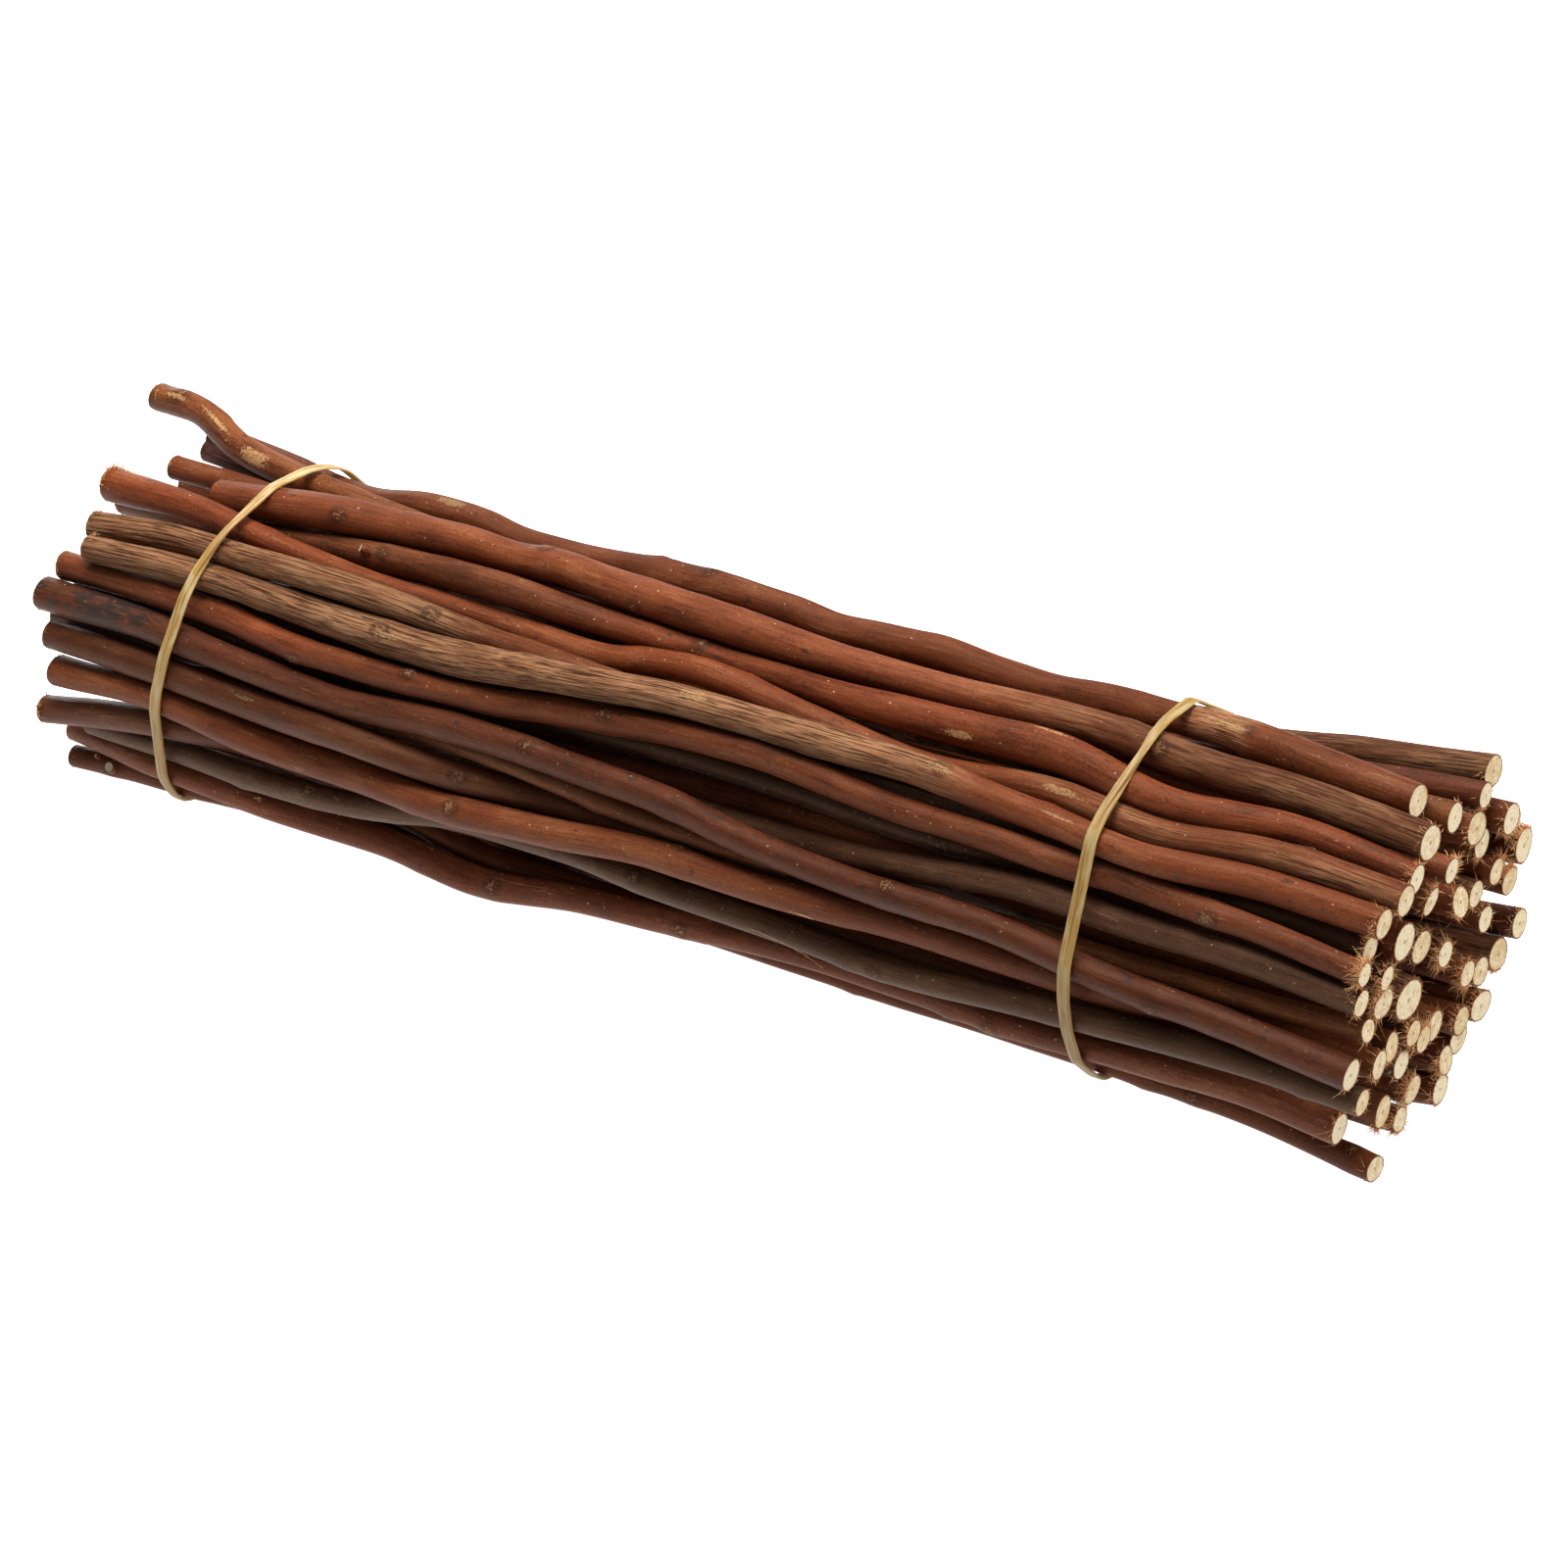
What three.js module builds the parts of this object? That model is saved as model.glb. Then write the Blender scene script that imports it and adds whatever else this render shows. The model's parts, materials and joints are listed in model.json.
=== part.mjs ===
// A bundle of cut twigs lying on its side, held together by two rubber bands.
// Millimetres, +Z up. +X runs along the bundle to the end whose sawn faces are seen in the
// photograph, and the origin is on the surface, under the middle of the bundle.
//
// A place in the bundle's section is given as rise and front. The section is an oval whose
// long half leans back: rise is measured up that lean from the bundle's axis, and front is
// measured square to it, towards the side that faces the photograph.

import * as THREE from 'three';

// Driving dimensions of the bundle
const AXIS_HEIGHT = 39;
const SECTION_LEAN = THREE.MathUtils.degToRad(58);
const SECTION_RISE = 38.8;
const SECTION_FRONT = 34;
const STATION_FIRST = -180;
const STATION_STEP = 30;
const STATION_COUNT = 13;

// Driving dimensions of a twig
const LEFT_END = -178;
const RIGHT_END = 178;
const END_SPREAD = 6;
const TWIG_SIDES = 6;
const TWIG_TAPER = 0.05;
const TWIG_GAP = 0.4;

// Driving dimensions of the rubber bands
const BAND_WIDTH = 3.6;
const BAND_THICKNESS = 0.9;
const BAND_CLEARANCE = 0.25;
const BAND_FACETS = 32;
const BAND_REACH = 40;
const BANDS = [
  { name: 'rubber_band_left', x: -139, skew: 0.2 },
  { name: 'rubber_band_right', x: 110, skew: 0 },
];

// Settling of the twigs against each other
const SETTLE_PASSES = 500;
const FREE_PASSES = 400;
const HOLD_RISE = 0.25;
const HOLD_FRONT = 0.03;
const HOLD_INNER = 0.05;
const INNER_SMOOTHING = 0.03;
const INNER_WANDER = 2.6;
const INNER_DRAW_IN = 0.86;
const INNER_TURN_OUT = 0.7;
const WANDER_WAVES = 2;
const WANDER_WAVE_SPREAD = 2;
const LAYING_SEED = 20;
const SMALLEST = 1e-6;

// Bark and rubber colours
const BARK_COLOURS = {
  red: 0x7d4030,
  tan: 0x8a6448,
  purple: 0x4a2a28,
  grey: 0x5c4a3c,
  amber: 0x8a5632,
};
const RUBBER_COLOUR = 0xc9a552;

// Twigs that show along the bundle. rise is the centre line's height at each station from the
// left end to the right one. A twig lies on the outer oval, or sink under it, or at its own
// front where that is given instead.
const SHOWN_TWIGS = [
  { bark: 'tan', diameter: 7.7, ends: [-176, 176.3],
    rise: [33, 34, 34, 34, 34, 34, 34, 34, 35, 36.5, 40, 44.5, 48],
    front: [-14, -14, -14, -14, -14, -14, -14, -14, -13, -12, -10, -8, -4] },
  { bark: 'amber', diameter: 7, ends: [-188, 175],
    rise: [46, 38.5, 35.3, 33, 31.5, 31, 31, 31, 31, 32, 33, 34.5, 35.5],
    front: [3, 8, 13, 10, 8, 8, 8, 8, 8, 7, 6, 5.5, 5.5] },
  { bark: 'red', diameter: 8, ends: [-172, 169.3],
    rise: [41.9, 39.2, 36.1, 38.9, 36.7, 38.9, 38.9, 38.6, 38, 37.9, 39.1, 37.3, 35.5],
    front: [4, 4, 5, 5, 5, 4, 4, 4, 4, 6, 9, 12.5, 15] },
  { bark: 'purple', diameter: 6, ends: [-178, 178],
    rise: [38.5, 36, 34, 33.5, 33, 33, 33, 33.5, 34, 35, 37, 39.5, 42],
    front: [-4, -5, -6, -6, -6, -6, -6, -6, -6, -5, -4, -2, 0] },
  { bark: 'red', diameter: 8.6, ends: [-145.5, 178], sink: [9, 5, 0, 0, 0, 0, 0, 0, 0, 0, 0, 0, 0],
    rise: [25.6, 26.4, 30.1, 32.3, 33, 31.9, 30.7, 30, 30.6, 32.2, 30.5, 29.7, 27.3] },
  { bark: 'red', diameter: 7.2, ends: [-183, 178], sink: [12, 9, 2, 0, 0, 0, 0, 0, 0, 0, 0, 2, 6],
    rise: [19.8, 20.1, 22.1, 23.6, 24.7, 22.2, 22.3, 22.9, 23.4, 24.1, 19.8, 22.6, 20.5] },
  { bark: 'red', diameter: 6.8, ends: [-178, 179.4], sink: [0, 0, 1, 4, 5, 4, 2, 2, 4, 1, 0, 0, 0],
    rise: [22.5, 22.6, 19.1, 17, 16.7, 15.2, 16.6, 15.1, 12.7, 15.3, 13.5, 16, 14.4] },
  { bark: 'tan', diameter: 6.8, ends: [-176.8, 178.6], sink: [0, 0, 0, 0, 0, 1, 5, 8, 9, 10, 12, 14, 17],
    rise: [11, 14.6, 15.1, 14.3, 12.1, 13.2, 13.8, 13.9, 14, 14.5, 15, 16, 16.4] },
  { bark: 'tan', diameter: 7.1, ends: [-172.8, 178],
    rise: [5.2, 6.2, 5, 5.6, 6.3, 9.1, 11.4, 11.8, 12.1, 10, 7.3, 9.6, 8.9] },
  { bark: 'red', diameter: 6.5, ends: [-182, 177],
    rise: [0.4, 0.7, -1.7, -2.8, -1.9, 1.3, 4, 4.4, 2.2, 1.7, 1.5, -0.3, -2.8] },
  { bark: 'grey', diameter: 5.9, ends: [-175, 174], sink: 8,
    rise: [5, 5, 4, 3, 2, 3, 5, 6, 6, 4, 3, 3.5, 2.5] },
  { bark: 'grey', diameter: 5.7, ends: [-180, 178], sink: 8,
    rise: [-3, -4, -5, -5, -3, -1, 0.4, -0.7, -1.5, -1.2, -1, -1, -1.7] },
  { bark: 'grey', diameter: 6.3, ends: [-185, 177], sink: [10, 10, 10, 10, 10, 10, 9, 8, 5, 3, 3, 2, 2],
    rise: [-12, -12, -12, -12, -12, -12, -12, -12, -10.1, -6.5, -7.1, -6.8, -8.8] },
  { bark: 'amber', diameter: 5.4, ends: [-174, 178], sink: [10, 10, 9, 8, 5, 4, 4, 5, 8, 8, 7, 6, 6],
    rise: [-14, -14, -14, -14, -14.9, -15.5, -17.1, -17.3, -16.5, -16, -15.9, -15, -13.7] },
  { bark: 'purple', diameter: 7.3, ends: [-184, 178],
    rise: [-7.8, -8.2, -10.5, -11.7, -9.8, -10.4, -11.4, -15.2, -16.8, -16.8, -20.1, -21.6, -24.1] },
  { bark: 'red', diameter: 7.2, ends: [-180.8, 178], sink: [0, 0, 0, 0, 1, 5, 8, 9, 10, 12, 14, 17, 21],
    rise: [-17.1, -17.5, -18.6, -19, -20.1, -19.4, -20.4, -20, -19.6, -19, -18, -17, -15.7] },
  { bark: 'red', diameter: 7.3, ends: [-179, 179], sink: [0, 0, 0, 0, 0, 0, 0, 0, 1, 3, 6, 9, 13],
    rise: [-25.2, -24.2, -27, -27.5, -26.9, -26, -23.8, -23.8, -22.2, -22.1, -21.8, -20.5, -20.2] },
  { bark: 'purple', diameter: 7.5, ends: [-183.6, 178],
    sink: [0, 1, 3, 7, 9, 9, 9, 9, 10, 11, 13, 15, 18],
    rise: [-35.1, -30.6, -29, -30.5, -30, -29, -29, -28.8, -28.8, -28.6, -28.7, -29.5, -29.8] },
  { bark: 'grey', diameter: 6.1, ends: [-174, 180],
    rise: [-36.1, -36, -34.7, -34.2, -30.2, -29.4, -30.9, -31.7, -32.8, -31.1, -29.5, -28.1, -28.5] },
  { bark: 'purple', diameter: 6.7, ends: [-183.6, 172],
    rise: [-38.8, -41.1, -41.5, -42.3, -43.9, -40.3, -38, -35.8, -35.5, -36.4, -34.9, -34.4, -36.4],
    front: [8.5, 8, 7, 4, 3, 5, 9, 11, 10, 11, 12, 13, 9] },
  { bark: 'red', diameter: 5.9, ends: [-183, 178],
    rise: [-45.6, -44.5, -42, -39, -38, -37.5, -37, -36, -35, -34, -33, -32, -30.6],
    front: [3, 1, -3, -6, -8, -9, -9, -9, -9, -9, -8, -8, -7] },
  { bark: 'red', diameter: 6.1, ends: [-172, 178.5],
    rise: [-37, -37, -37, -37, -38, -38, -38, -38, -38, -37.9, -38, -39.2, -42.5],
    front: [-10, -10, -8, -5, -3, -1, 0, 0, 0, 0, 0, -1, -1] },
  { bark: 'red', diameter: 6, ends: [-170.5, 179], sink: [2, 2, 6, 9, 7, 6, 6, 7, 8, 9, 11, 14, 18],
    rise: [30.5, 31, 29.5, 26, 26, 26.5, 26.5, 26, 25, 25, 25, 24.5, 24] },
];

// Twigs on the far side of the bundle: the place along its length, then the place of the sawn
// face, each as rise and front.
const FAR_TWIGS = [
  { bark: 'red', diameter: 7.2, along: [30, -22], face: [39, -14] },
  { bark: 'grey', diameter: 6.4, along: [23.5, -27.5], face: [39, -24] },
  { bark: 'red', diameter: 7.8, along: [15.5, -31], face: [34.5, -27.5] },
  { bark: 'purple', diameter: 7, along: [7.5, -33], face: [14, -42] },
  { bark: 'tan', diameter: 7.9, along: [-0.5, -33.5], face: [12, -42.5] },
  { bark: 'red', diameter: 6.8, along: [-8.5, -33], face: [4.5, -30] },
  { bark: 'amber', diameter: 7.1, along: [-16, -31], face: [0, -30] },
  { bark: 'red', diameter: 7.4, along: [-22.5, -27.5], face: [-11.5, -29] },
  { bark: 'purple', diameter: 6.5, along: [-28, -22], face: [-20, -25.5] },
  { bark: 'red', diameter: 7, along: [-32.5, -15], face: [-20, -25.5] },
];

// Twigs inside the bundle, known by the place of the sawn face.
const INNER_TWIGS = [
  { bark: 'red', diameter: 7.8, face: [34, -0.5] },
  { bark: 'amber', diameter: 6.8, face: [31, -12.5] },
  { bark: 'red', diameter: 6.6, face: [17, -0.5] },
  { bark: 'tan', diameter: 6.2, face: [22, -16] },
  { bark: 'red', diameter: 6, face: [25.5, -16.5] },
  { bark: 'purple', diameter: 6.4, face: [28, -24] },
  { bark: 'amber', diameter: 6.2, face: [18.7, -16] },
  { bark: 'red', diameter: 8.4, face: [6.5, 19] },
  { bark: 'grey', diameter: 7.6, face: [6.5, 9] },
  { bark: 'red', diameter: 6.2, face: [6.5, -6] },
  { bark: 'red', diameter: 6.4, face: [4, -16.5] },
  { bark: 'tan', diameter: 9.8, face: [-3.4, 8] },
  { bark: 'red', diameter: 7, face: [-9, 19] },
  { bark: 'amber', diameter: 7.2, face: [-8, -9] },
  { bark: 'red', diameter: 6.6, face: [-7, -26.5] },
  { bark: 'grey', diameter: 6, face: [-11.5, 2] },
  { bark: 'red', diameter: 6.6, face: [-13.5, -5.5] },
  { bark: 'tan', diameter: 6.4, face: [-18, -1.5] },
  { bark: 'red', diameter: 6.8, face: [-23, -11] },
];

// Small repeatable generator of numbers between 0 and 1
function seededRandom(seed) {
  let state = seed;
  return () => {
    state = (state * 1664525 + 1013904223) % 4294967296;
    return state / 4294967296;
  };
}

function stationX(index) {
  return STATION_FIRST + STATION_STEP * index;
}

// Height above the surface of a place in the section
function heightOf(rise, front) {
  return AXIS_HEIGHT + rise * Math.sin(SECTION_LEAN) + front * Math.cos(SECTION_LEAN);
}

// Place in the section as a point of the bundle's own frame
function sectionPoint(x, rise, front) {
  const y = rise * Math.cos(SECTION_LEAN) - front * Math.sin(SECTION_LEAN);
  return new THREE.Vector3(x, y, heightOf(rise, front));
}

function outerFront(rise) {
  const share = Math.min(1, Math.abs(rise) / SECTION_RISE);
  return SECTION_FRONT * Math.sqrt(1 - share * share);
}

function valueAt(value, index) {
  return Array.isArray(value) ? value[index] : value;
}

// Route of a twig that shows: the places that it is held to while the bundle settles
function shownRoute(row) {
  return row.rise.map((rise, index) => {
    const sunk = outerFront(rise) - valueAt(row.sink ?? 0, index);
    const front = row.front ? row.front[index] : sunk;
    return new THREE.Vector2(rise, front);
  });
}

// Route of a twig that is only known by its sawn face: it keeps to its place along the bundle
// with a slow wander, and turns out to the face over the last quarter.
function hiddenRoute(along, face, random) {
  const phase = random() * Math.PI * 2;
  const waves = WANDER_WAVES + random() * WANDER_WAVE_SPREAD;
  const turn = random() * Math.PI * 2;
  const route = [];
  for (let index = 0; index < STATION_COUNT; index++) {
    const share = index / (STATION_COUNT - 1);
    const wander = INNER_WANDER * Math.sin(phase + share * waves * Math.PI * 2);
    const turned = THREE.MathUtils.smoothstep(share, INNER_TURN_OUT, 1);
    const point = along.clone().lerp(face, turned);
    point.x += wander * Math.cos(turn);
    point.y += wander * Math.sin(turn);
    route.push(point);
  }
  return route;
}

function makeTwig(row, route, shown, random) {
  const spread = () => (random() * 2 - 1) * END_SPREAD;
  return {
    bark: row.bark,
    radius: row.diameter / 2,
    taper: 1 + (random() * 2 - 1) * TWIG_TAPER,
    roll: random() * Math.PI,
    ends: row.ends ?? [LEFT_END + spread(), RIGHT_END + spread() / 3],
    held: route,
    path: route.map((point) => point.clone()),
    shown,
  };
}

function layTwigs() {
  const random = seededRandom(LAYING_SEED);
  const shown = SHOWN_TWIGS.map((row) => makeTwig(row, shownRoute(row), true, random));
  const far = FAR_TWIGS.map((row) => {
    const route = hiddenRoute(new THREE.Vector2(...row.along), new THREE.Vector2(...row.face), random);
    return makeTwig(row, route, false, random);
  });
  const inner = INNER_TWIGS.map((row) => {
    const face = new THREE.Vector2(...row.face);
    const route = hiddenRoute(face.clone().multiplyScalar(INNER_DRAW_IN), face, random);
    return makeTwig(row, route, false, random);
  });
  return [...shown, ...far, ...inner];
}

// Room under a twig at a station: the surface, or the band that passes between
function roomUnder(index) {
  const nearBand = BANDS.some((band) => Math.abs(stationX(index) - band.x) < BAND_REACH);
  return nearBand ? BAND_THICKNESS + 2 * BAND_CLEARANCE : 0;
}

function holdToRoute(twig) {
  twig.path.forEach((point, index) => {
    const held = twig.held[index];
    point.x += (held.x - point.x) * (twig.shown ? HOLD_RISE : HOLD_INNER);
    point.y += (held.y - point.y) * (twig.shown ? HOLD_FRONT : HOLD_INNER);
  });
}

function smoothPath(path) {
  const before = path.map((point) => point.clone());
  for (let index = 1; index < path.length - 1; index++) {
    const middle = before[index - 1].clone().add(before[index + 1]).multiplyScalar(0.5);
    path[index].lerp(middle, INNER_SMOOTHING);
  }
}

function liftFromSurface(twig) {
  twig.path.forEach((point, index) => {
    const lack = twig.radius + roomUnder(index) - heightOf(point.x, point.y);
    if (lack > 0) {
      point.x += lack * Math.sin(SECTION_LEAN);
      point.y += lack * Math.cos(SECTION_LEAN);
    }
  });
}

// Push two twigs apart where they come closest between two stations
function partTwigs(one, other, index) {
  const start = other.path[index].clone().sub(one.path[index]);
  const change = other.path[index + 1].clone().sub(one.path[index + 1]).sub(start);
  const travel = Math.max(change.lengthSq(), SMALLEST);
  const share = THREE.MathUtils.clamp(-start.dot(change) / travel, 0, 1);
  const between = start.addScaledVector(change, share);
  const distance = Math.max(between.length(), SMALLEST);
  const lack = one.radius + other.radius + TWIG_GAP - distance;
  if (lack <= 0) {
    return;
  }
  const weight = (1 - share) ** 2 + share ** 2;
  between.multiplyScalar(lack / (2 * weight * distance));
  one.path[index].addScaledVector(between, share - 1);
  one.path[index + 1].addScaledVector(between, -share);
  other.path[index].addScaledVector(between, 1 - share);
  other.path[index + 1].addScaledVector(between, share);
}

function partAll(twigs) {
  for (let index = 0; index < STATION_COUNT - 1; index++) {
    for (let first = 0; first < twigs.length; first++) {
      for (let second = first + 1; second < twigs.length; second++) {
        partTwigs(twigs[first], twigs[second], index);
      }
    }
  }
}

// Let the twigs settle: held near their routes at first, then only pushed clear of each other
function settle(twigs) {
  for (let pass = 0; pass < SETTLE_PASSES + FREE_PASSES; pass++) {
    if (pass < SETTLE_PASSES) {
      twigs.forEach(holdToRoute);
      twigs.filter((twig) => !twig.shown).forEach((twig) => smoothPath(twig.path));
    }
    partAll(twigs);
    twigs.forEach(liftFromSurface);
  }
}

// Place of a twig's centre line at any length along the bundle
function placeAt(twig, x) {
  const along = (x - STATION_FIRST) / STATION_STEP;
  const index = THREE.MathUtils.clamp(Math.floor(along), 0, STATION_COUNT - 2);
  return twig.path[index].clone().lerp(twig.path[index + 1], along - index);
}

function twigStations(twig) {
  const stations = [];
  for (let index = 0; index < STATION_COUNT; index++) {
    stations.push(stationX(index));
  }
  stations[0] = twig.ends[0];
  stations[STATION_COUNT - 1] = twig.ends[1];
  return stations;
}

// A twig is a cylinder whose rings are carried to the twig's stations
function twigGeometry(twig) {
  const segments = STATION_COUNT - 1;
  const thin = twig.radius * Math.min(1, twig.taper);
  const thick = twig.radius * Math.min(1, 2 - twig.taper);
  const geometry = new THREE.CylinderGeometry(thin, thick, segments, TWIG_SIDES, segments);
  geometry.rotateY(twig.roll);
  const stations = twigStations(twig);
  const rings = stations.map((x) => {
    const place = placeAt(twig, x);
    return sectionPoint(x, place.x, place.y);
  });
  const position = geometry.attributes.position;
  for (let vertex = 0; vertex < position.count; vertex++) {
    const ring = rings[Math.round(position.getY(vertex) + segments / 2)];
    const aside = ring.y + position.getZ(vertex);
    const up = ring.z + position.getX(vertex);
    position.setXYZ(vertex, ring.x, aside, up);
  }
  geometry.computeVertexNormals();
  return geometry;
}

// Reach of the bundle at a band, along a direction in the section
function bundleReach(twigs, band, direction) {
  const reaches = twigs.flatMap((twig) => [-0.5, 0, 0.5].map((side) => {
    const middle = placeAt(twig, band.x);
    const x = band.x + band.skew * middle.x + side * BAND_WIDTH;
    return placeAt(twig, x).dot(direction) + twig.radius;
  }));
  return Math.max(...reaches) + BAND_CLEARANCE;
}

// Closed outline of a band around the bundle, each side touching the bundle, grown by extra
function bandOutline(twigs, band, extra) {
  const step = (Math.PI * 2) / BAND_FACETS;
  const directions = [];
  for (let facet = 0; facet < BAND_FACETS; facet++) {
    directions.push(new THREE.Vector2(Math.cos(facet * step), Math.sin(facet * step)));
  }
  const reach = directions.map((direction) => bundleReach(twigs, band, direction) + extra);
  return directions.map((direction, facet) => {
    const next = (facet + 1) % BAND_FACETS;
    const along = (reach[next] - reach[facet] * Math.cos(step)) / Math.sin(step);
    const side = new THREE.Vector2(-direction.y, direction.x);
    return direction.clone().multiplyScalar(reach[facet]).addScaledVector(side, along);
  });
}

// A band is its outline with the inner outline cut out, as wide as the rubber, on a skewed plane
function bandGeometry(twigs, band) {
  const shape = new THREE.Shape(bandOutline(twigs, band, BAND_THICKNESS));
  shape.holes.push(new THREE.Path(bandOutline(twigs, band, 0)));
  const geometry = new THREE.ExtrudeGeometry(shape, { depth: BAND_WIDTH, bevelEnabled: false });
  const position = geometry.attributes.position;
  for (let vertex = 0; vertex < position.count; vertex++) {
    const rise = position.getX(vertex);
    const front = position.getY(vertex);
    const x = band.x + band.skew * rise + position.getZ(vertex) - BAND_WIDTH / 2;
    const point = sectionPoint(x, rise, front);
    position.setXYZ(vertex, point.x, point.y, point.z);
  }
  geometry.computeVertexNormals();
  return geometry;
}

function twigMesh(twig, index) {
  const material = new THREE.MeshStandardMaterial({
    color: BARK_COLOURS[twig.bark],
    roughness: 0.6,
    metalness: 0,
  });
  const mesh = new THREE.Mesh(twigGeometry(twig), material);
  mesh.name = `twig_${String(index + 1).padStart(2, '0')}`;
  return mesh;
}

function bandMesh(twigs, band) {
  const material = new THREE.MeshStandardMaterial({
    color: RUBBER_COLOUR,
    roughness: 0.45,
    metalness: 0,
  });
  const mesh = new THREE.Mesh(bandGeometry(twigs, band), material);
  mesh.name = band.name;
  return mesh;
}

// Stand the bundle on the surface with the origin under the middle of its box
function centreOnSurface(group) {
  const box = new THREE.Box3().setFromObject(group);
  const middle = box.getCenter(new THREE.Vector3());
  group.position.set(-middle.x, -middle.y, -box.min.z);
  group.updateMatrixWorld(true);
}

const twigs = layTwigs();
settle(twigs);
const bundle = new THREE.Group();
bundle.name = 'twig_bundle';
bundle.add(...twigs.map(twigMesh));
bundle.add(...BANDS.map((band) => bandMesh(twigs, band)));
centreOnSurface(bundle);

export default bundle;
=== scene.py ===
import json
import math

import bpy
import numpy as np
from bpy.props import FloatProperty, FloatVectorProperty, IntProperty, PointerProperty
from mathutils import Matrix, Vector, geometry

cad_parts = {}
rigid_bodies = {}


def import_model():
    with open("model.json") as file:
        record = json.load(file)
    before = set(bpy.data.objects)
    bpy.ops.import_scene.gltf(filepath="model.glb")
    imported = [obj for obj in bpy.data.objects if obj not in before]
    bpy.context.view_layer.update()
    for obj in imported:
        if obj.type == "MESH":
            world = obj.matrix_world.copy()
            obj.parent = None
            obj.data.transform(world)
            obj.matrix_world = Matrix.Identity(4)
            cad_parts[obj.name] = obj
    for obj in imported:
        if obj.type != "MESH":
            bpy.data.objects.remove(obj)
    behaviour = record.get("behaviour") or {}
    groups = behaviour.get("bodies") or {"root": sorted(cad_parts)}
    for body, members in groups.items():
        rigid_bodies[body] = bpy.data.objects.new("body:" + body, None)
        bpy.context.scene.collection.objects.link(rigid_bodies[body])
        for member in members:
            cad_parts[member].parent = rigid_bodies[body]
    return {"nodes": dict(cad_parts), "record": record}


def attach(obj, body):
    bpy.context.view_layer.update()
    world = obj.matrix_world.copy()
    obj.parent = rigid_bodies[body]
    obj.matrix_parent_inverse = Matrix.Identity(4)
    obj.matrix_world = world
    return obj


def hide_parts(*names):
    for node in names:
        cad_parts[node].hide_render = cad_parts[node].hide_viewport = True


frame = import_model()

bl_info = {
    "name": "Twig Bundle",
    "version": (1, 0, 0),
    "blender": (4, 5, 0),
    "location": "3D View > Sidebar > Twigs",
    "description": "A bundle of cut twigs held by two rubber bands",
    "category": "Add Mesh",
}

SLOT_OF_NODE = {row["node"]: row["material_slot"] for row in frame["record"]["subparts"]}
TWIGS = sorted(int(name[-2:]) for name in SLOT_OF_NODE if name.startswith("twig_"))
SHOWN_TWIGS = TWIGS[:23]
INNER_TWIGS = TWIGS[33:]

# Angle round a twig that faces the camera, and the way that a crook seen there rises.
FACING_ANGLE = math.radians(147.8)
RISE = np.array([0.0, math.cos(math.radians(58)), math.sin(math.radians(58))])

# Seeds of the twigs, their crooks, the torn ends and the loose fibres.
TWIG_SEED, CROOK_SEED, FRAY_SEED, LOOSE_SEED = 700, 50, 9000, 900

# Rings along the rods, and how much fuller than its solid a twig is.
PLAIN_RINGS, FISSURED_RINGS, COVERED_RINGS, STUB_RINGS = 200, 240, 100, 20
STUB_SIDES = 14
SHOWN_FULLNESS, HIDDEN_FULLNESS = 1.02, 1.06

# Insets of a rod's ends, as shares of its radius, and the angle that stays sharp.
END_INSETS = (0.04, 0.08, 0.24, 0.28, 0.2)
SHARP_ANGLE = math.radians(50)

# In metres: how far from an end it turns to the bundle's line and a saw cut leans, and
# how near a twig counts as a neighbour.
END_TURN, SAW_REACH, NEAR = 0.012, 0.006, 0.01

# Bumps of the bark as a share of the radius, and wave lengths in metres of bumps, crooks
# across and up, and ridges.
BUMP, BUMP_LENGTHS = 0.025, (0.031, 0.047, 0.083)
CROOK_LENGTHS = {1: (0.041, 0.067, 0.11), 2: (0.037, 0.059, 0.097)}
RIDGE_COUNTS, RIDGE_LENGTHS = (9, 14, 21), (0.017, 0.029, 0.052)

# Bud scars in metres: length and rise of the collar, rise and dip of the scar.
COLLAR_LENGTH, COLLAR_RISE, SCAR_RISE, SCAR_DIP = 0.0032, 0.00016, 0.00055, 0.00035
SCRAPE_DIP = 0.0002
# Length and width in mm of a scar, its dip and its stain, and how far along the dip is.
SCAR_SIZE, DIP_SIZE, STAIN_SIZE, DIP_SHIFT = (6.0, 4.6), (2.0, 3.2), (4.4, 4.0), 1.6

# Torn fibres: least count at an end, how many more a torn end has, usual amount, share of
# long ones, lengths and widths in metres, and the twig whose left end is torn.
FEWEST_FIBRES, MORE_FIBRES, USUAL_FRAY, LONG_SHARE = 20, 190, 0.35, 0.06
FIBRE_LENGTHS, FIBRE_WIDTHS = (0.0004, 0.0017), (0.00014, 0.00032)
FRAYED_LEFT = 7

# Bands: segments round a loop and its strand, steps and smoothings of the outline, how
# sharply and widely the strands cross, share pressed in, and grain in mm per radian.
BAND_SEGMENTS, STRAND_SEGMENTS, RING_STEPS, SMOOTHINGS = 560, 12, 720, 6
CROSSING_RATE, CROSSING_WIDTH, PRESSED, GRAIN_RATE = 5, 0.22, 0.35, 40

# Stage: size and glow of the floor, width of the camera's sensor in mm.
FLOOR_SIZE, FLOOR_GLOW, SENSOR_WIDTH = 8.0, 1.1, 36.0
WHITE = (1.0, 1.0, 1.0)

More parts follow.
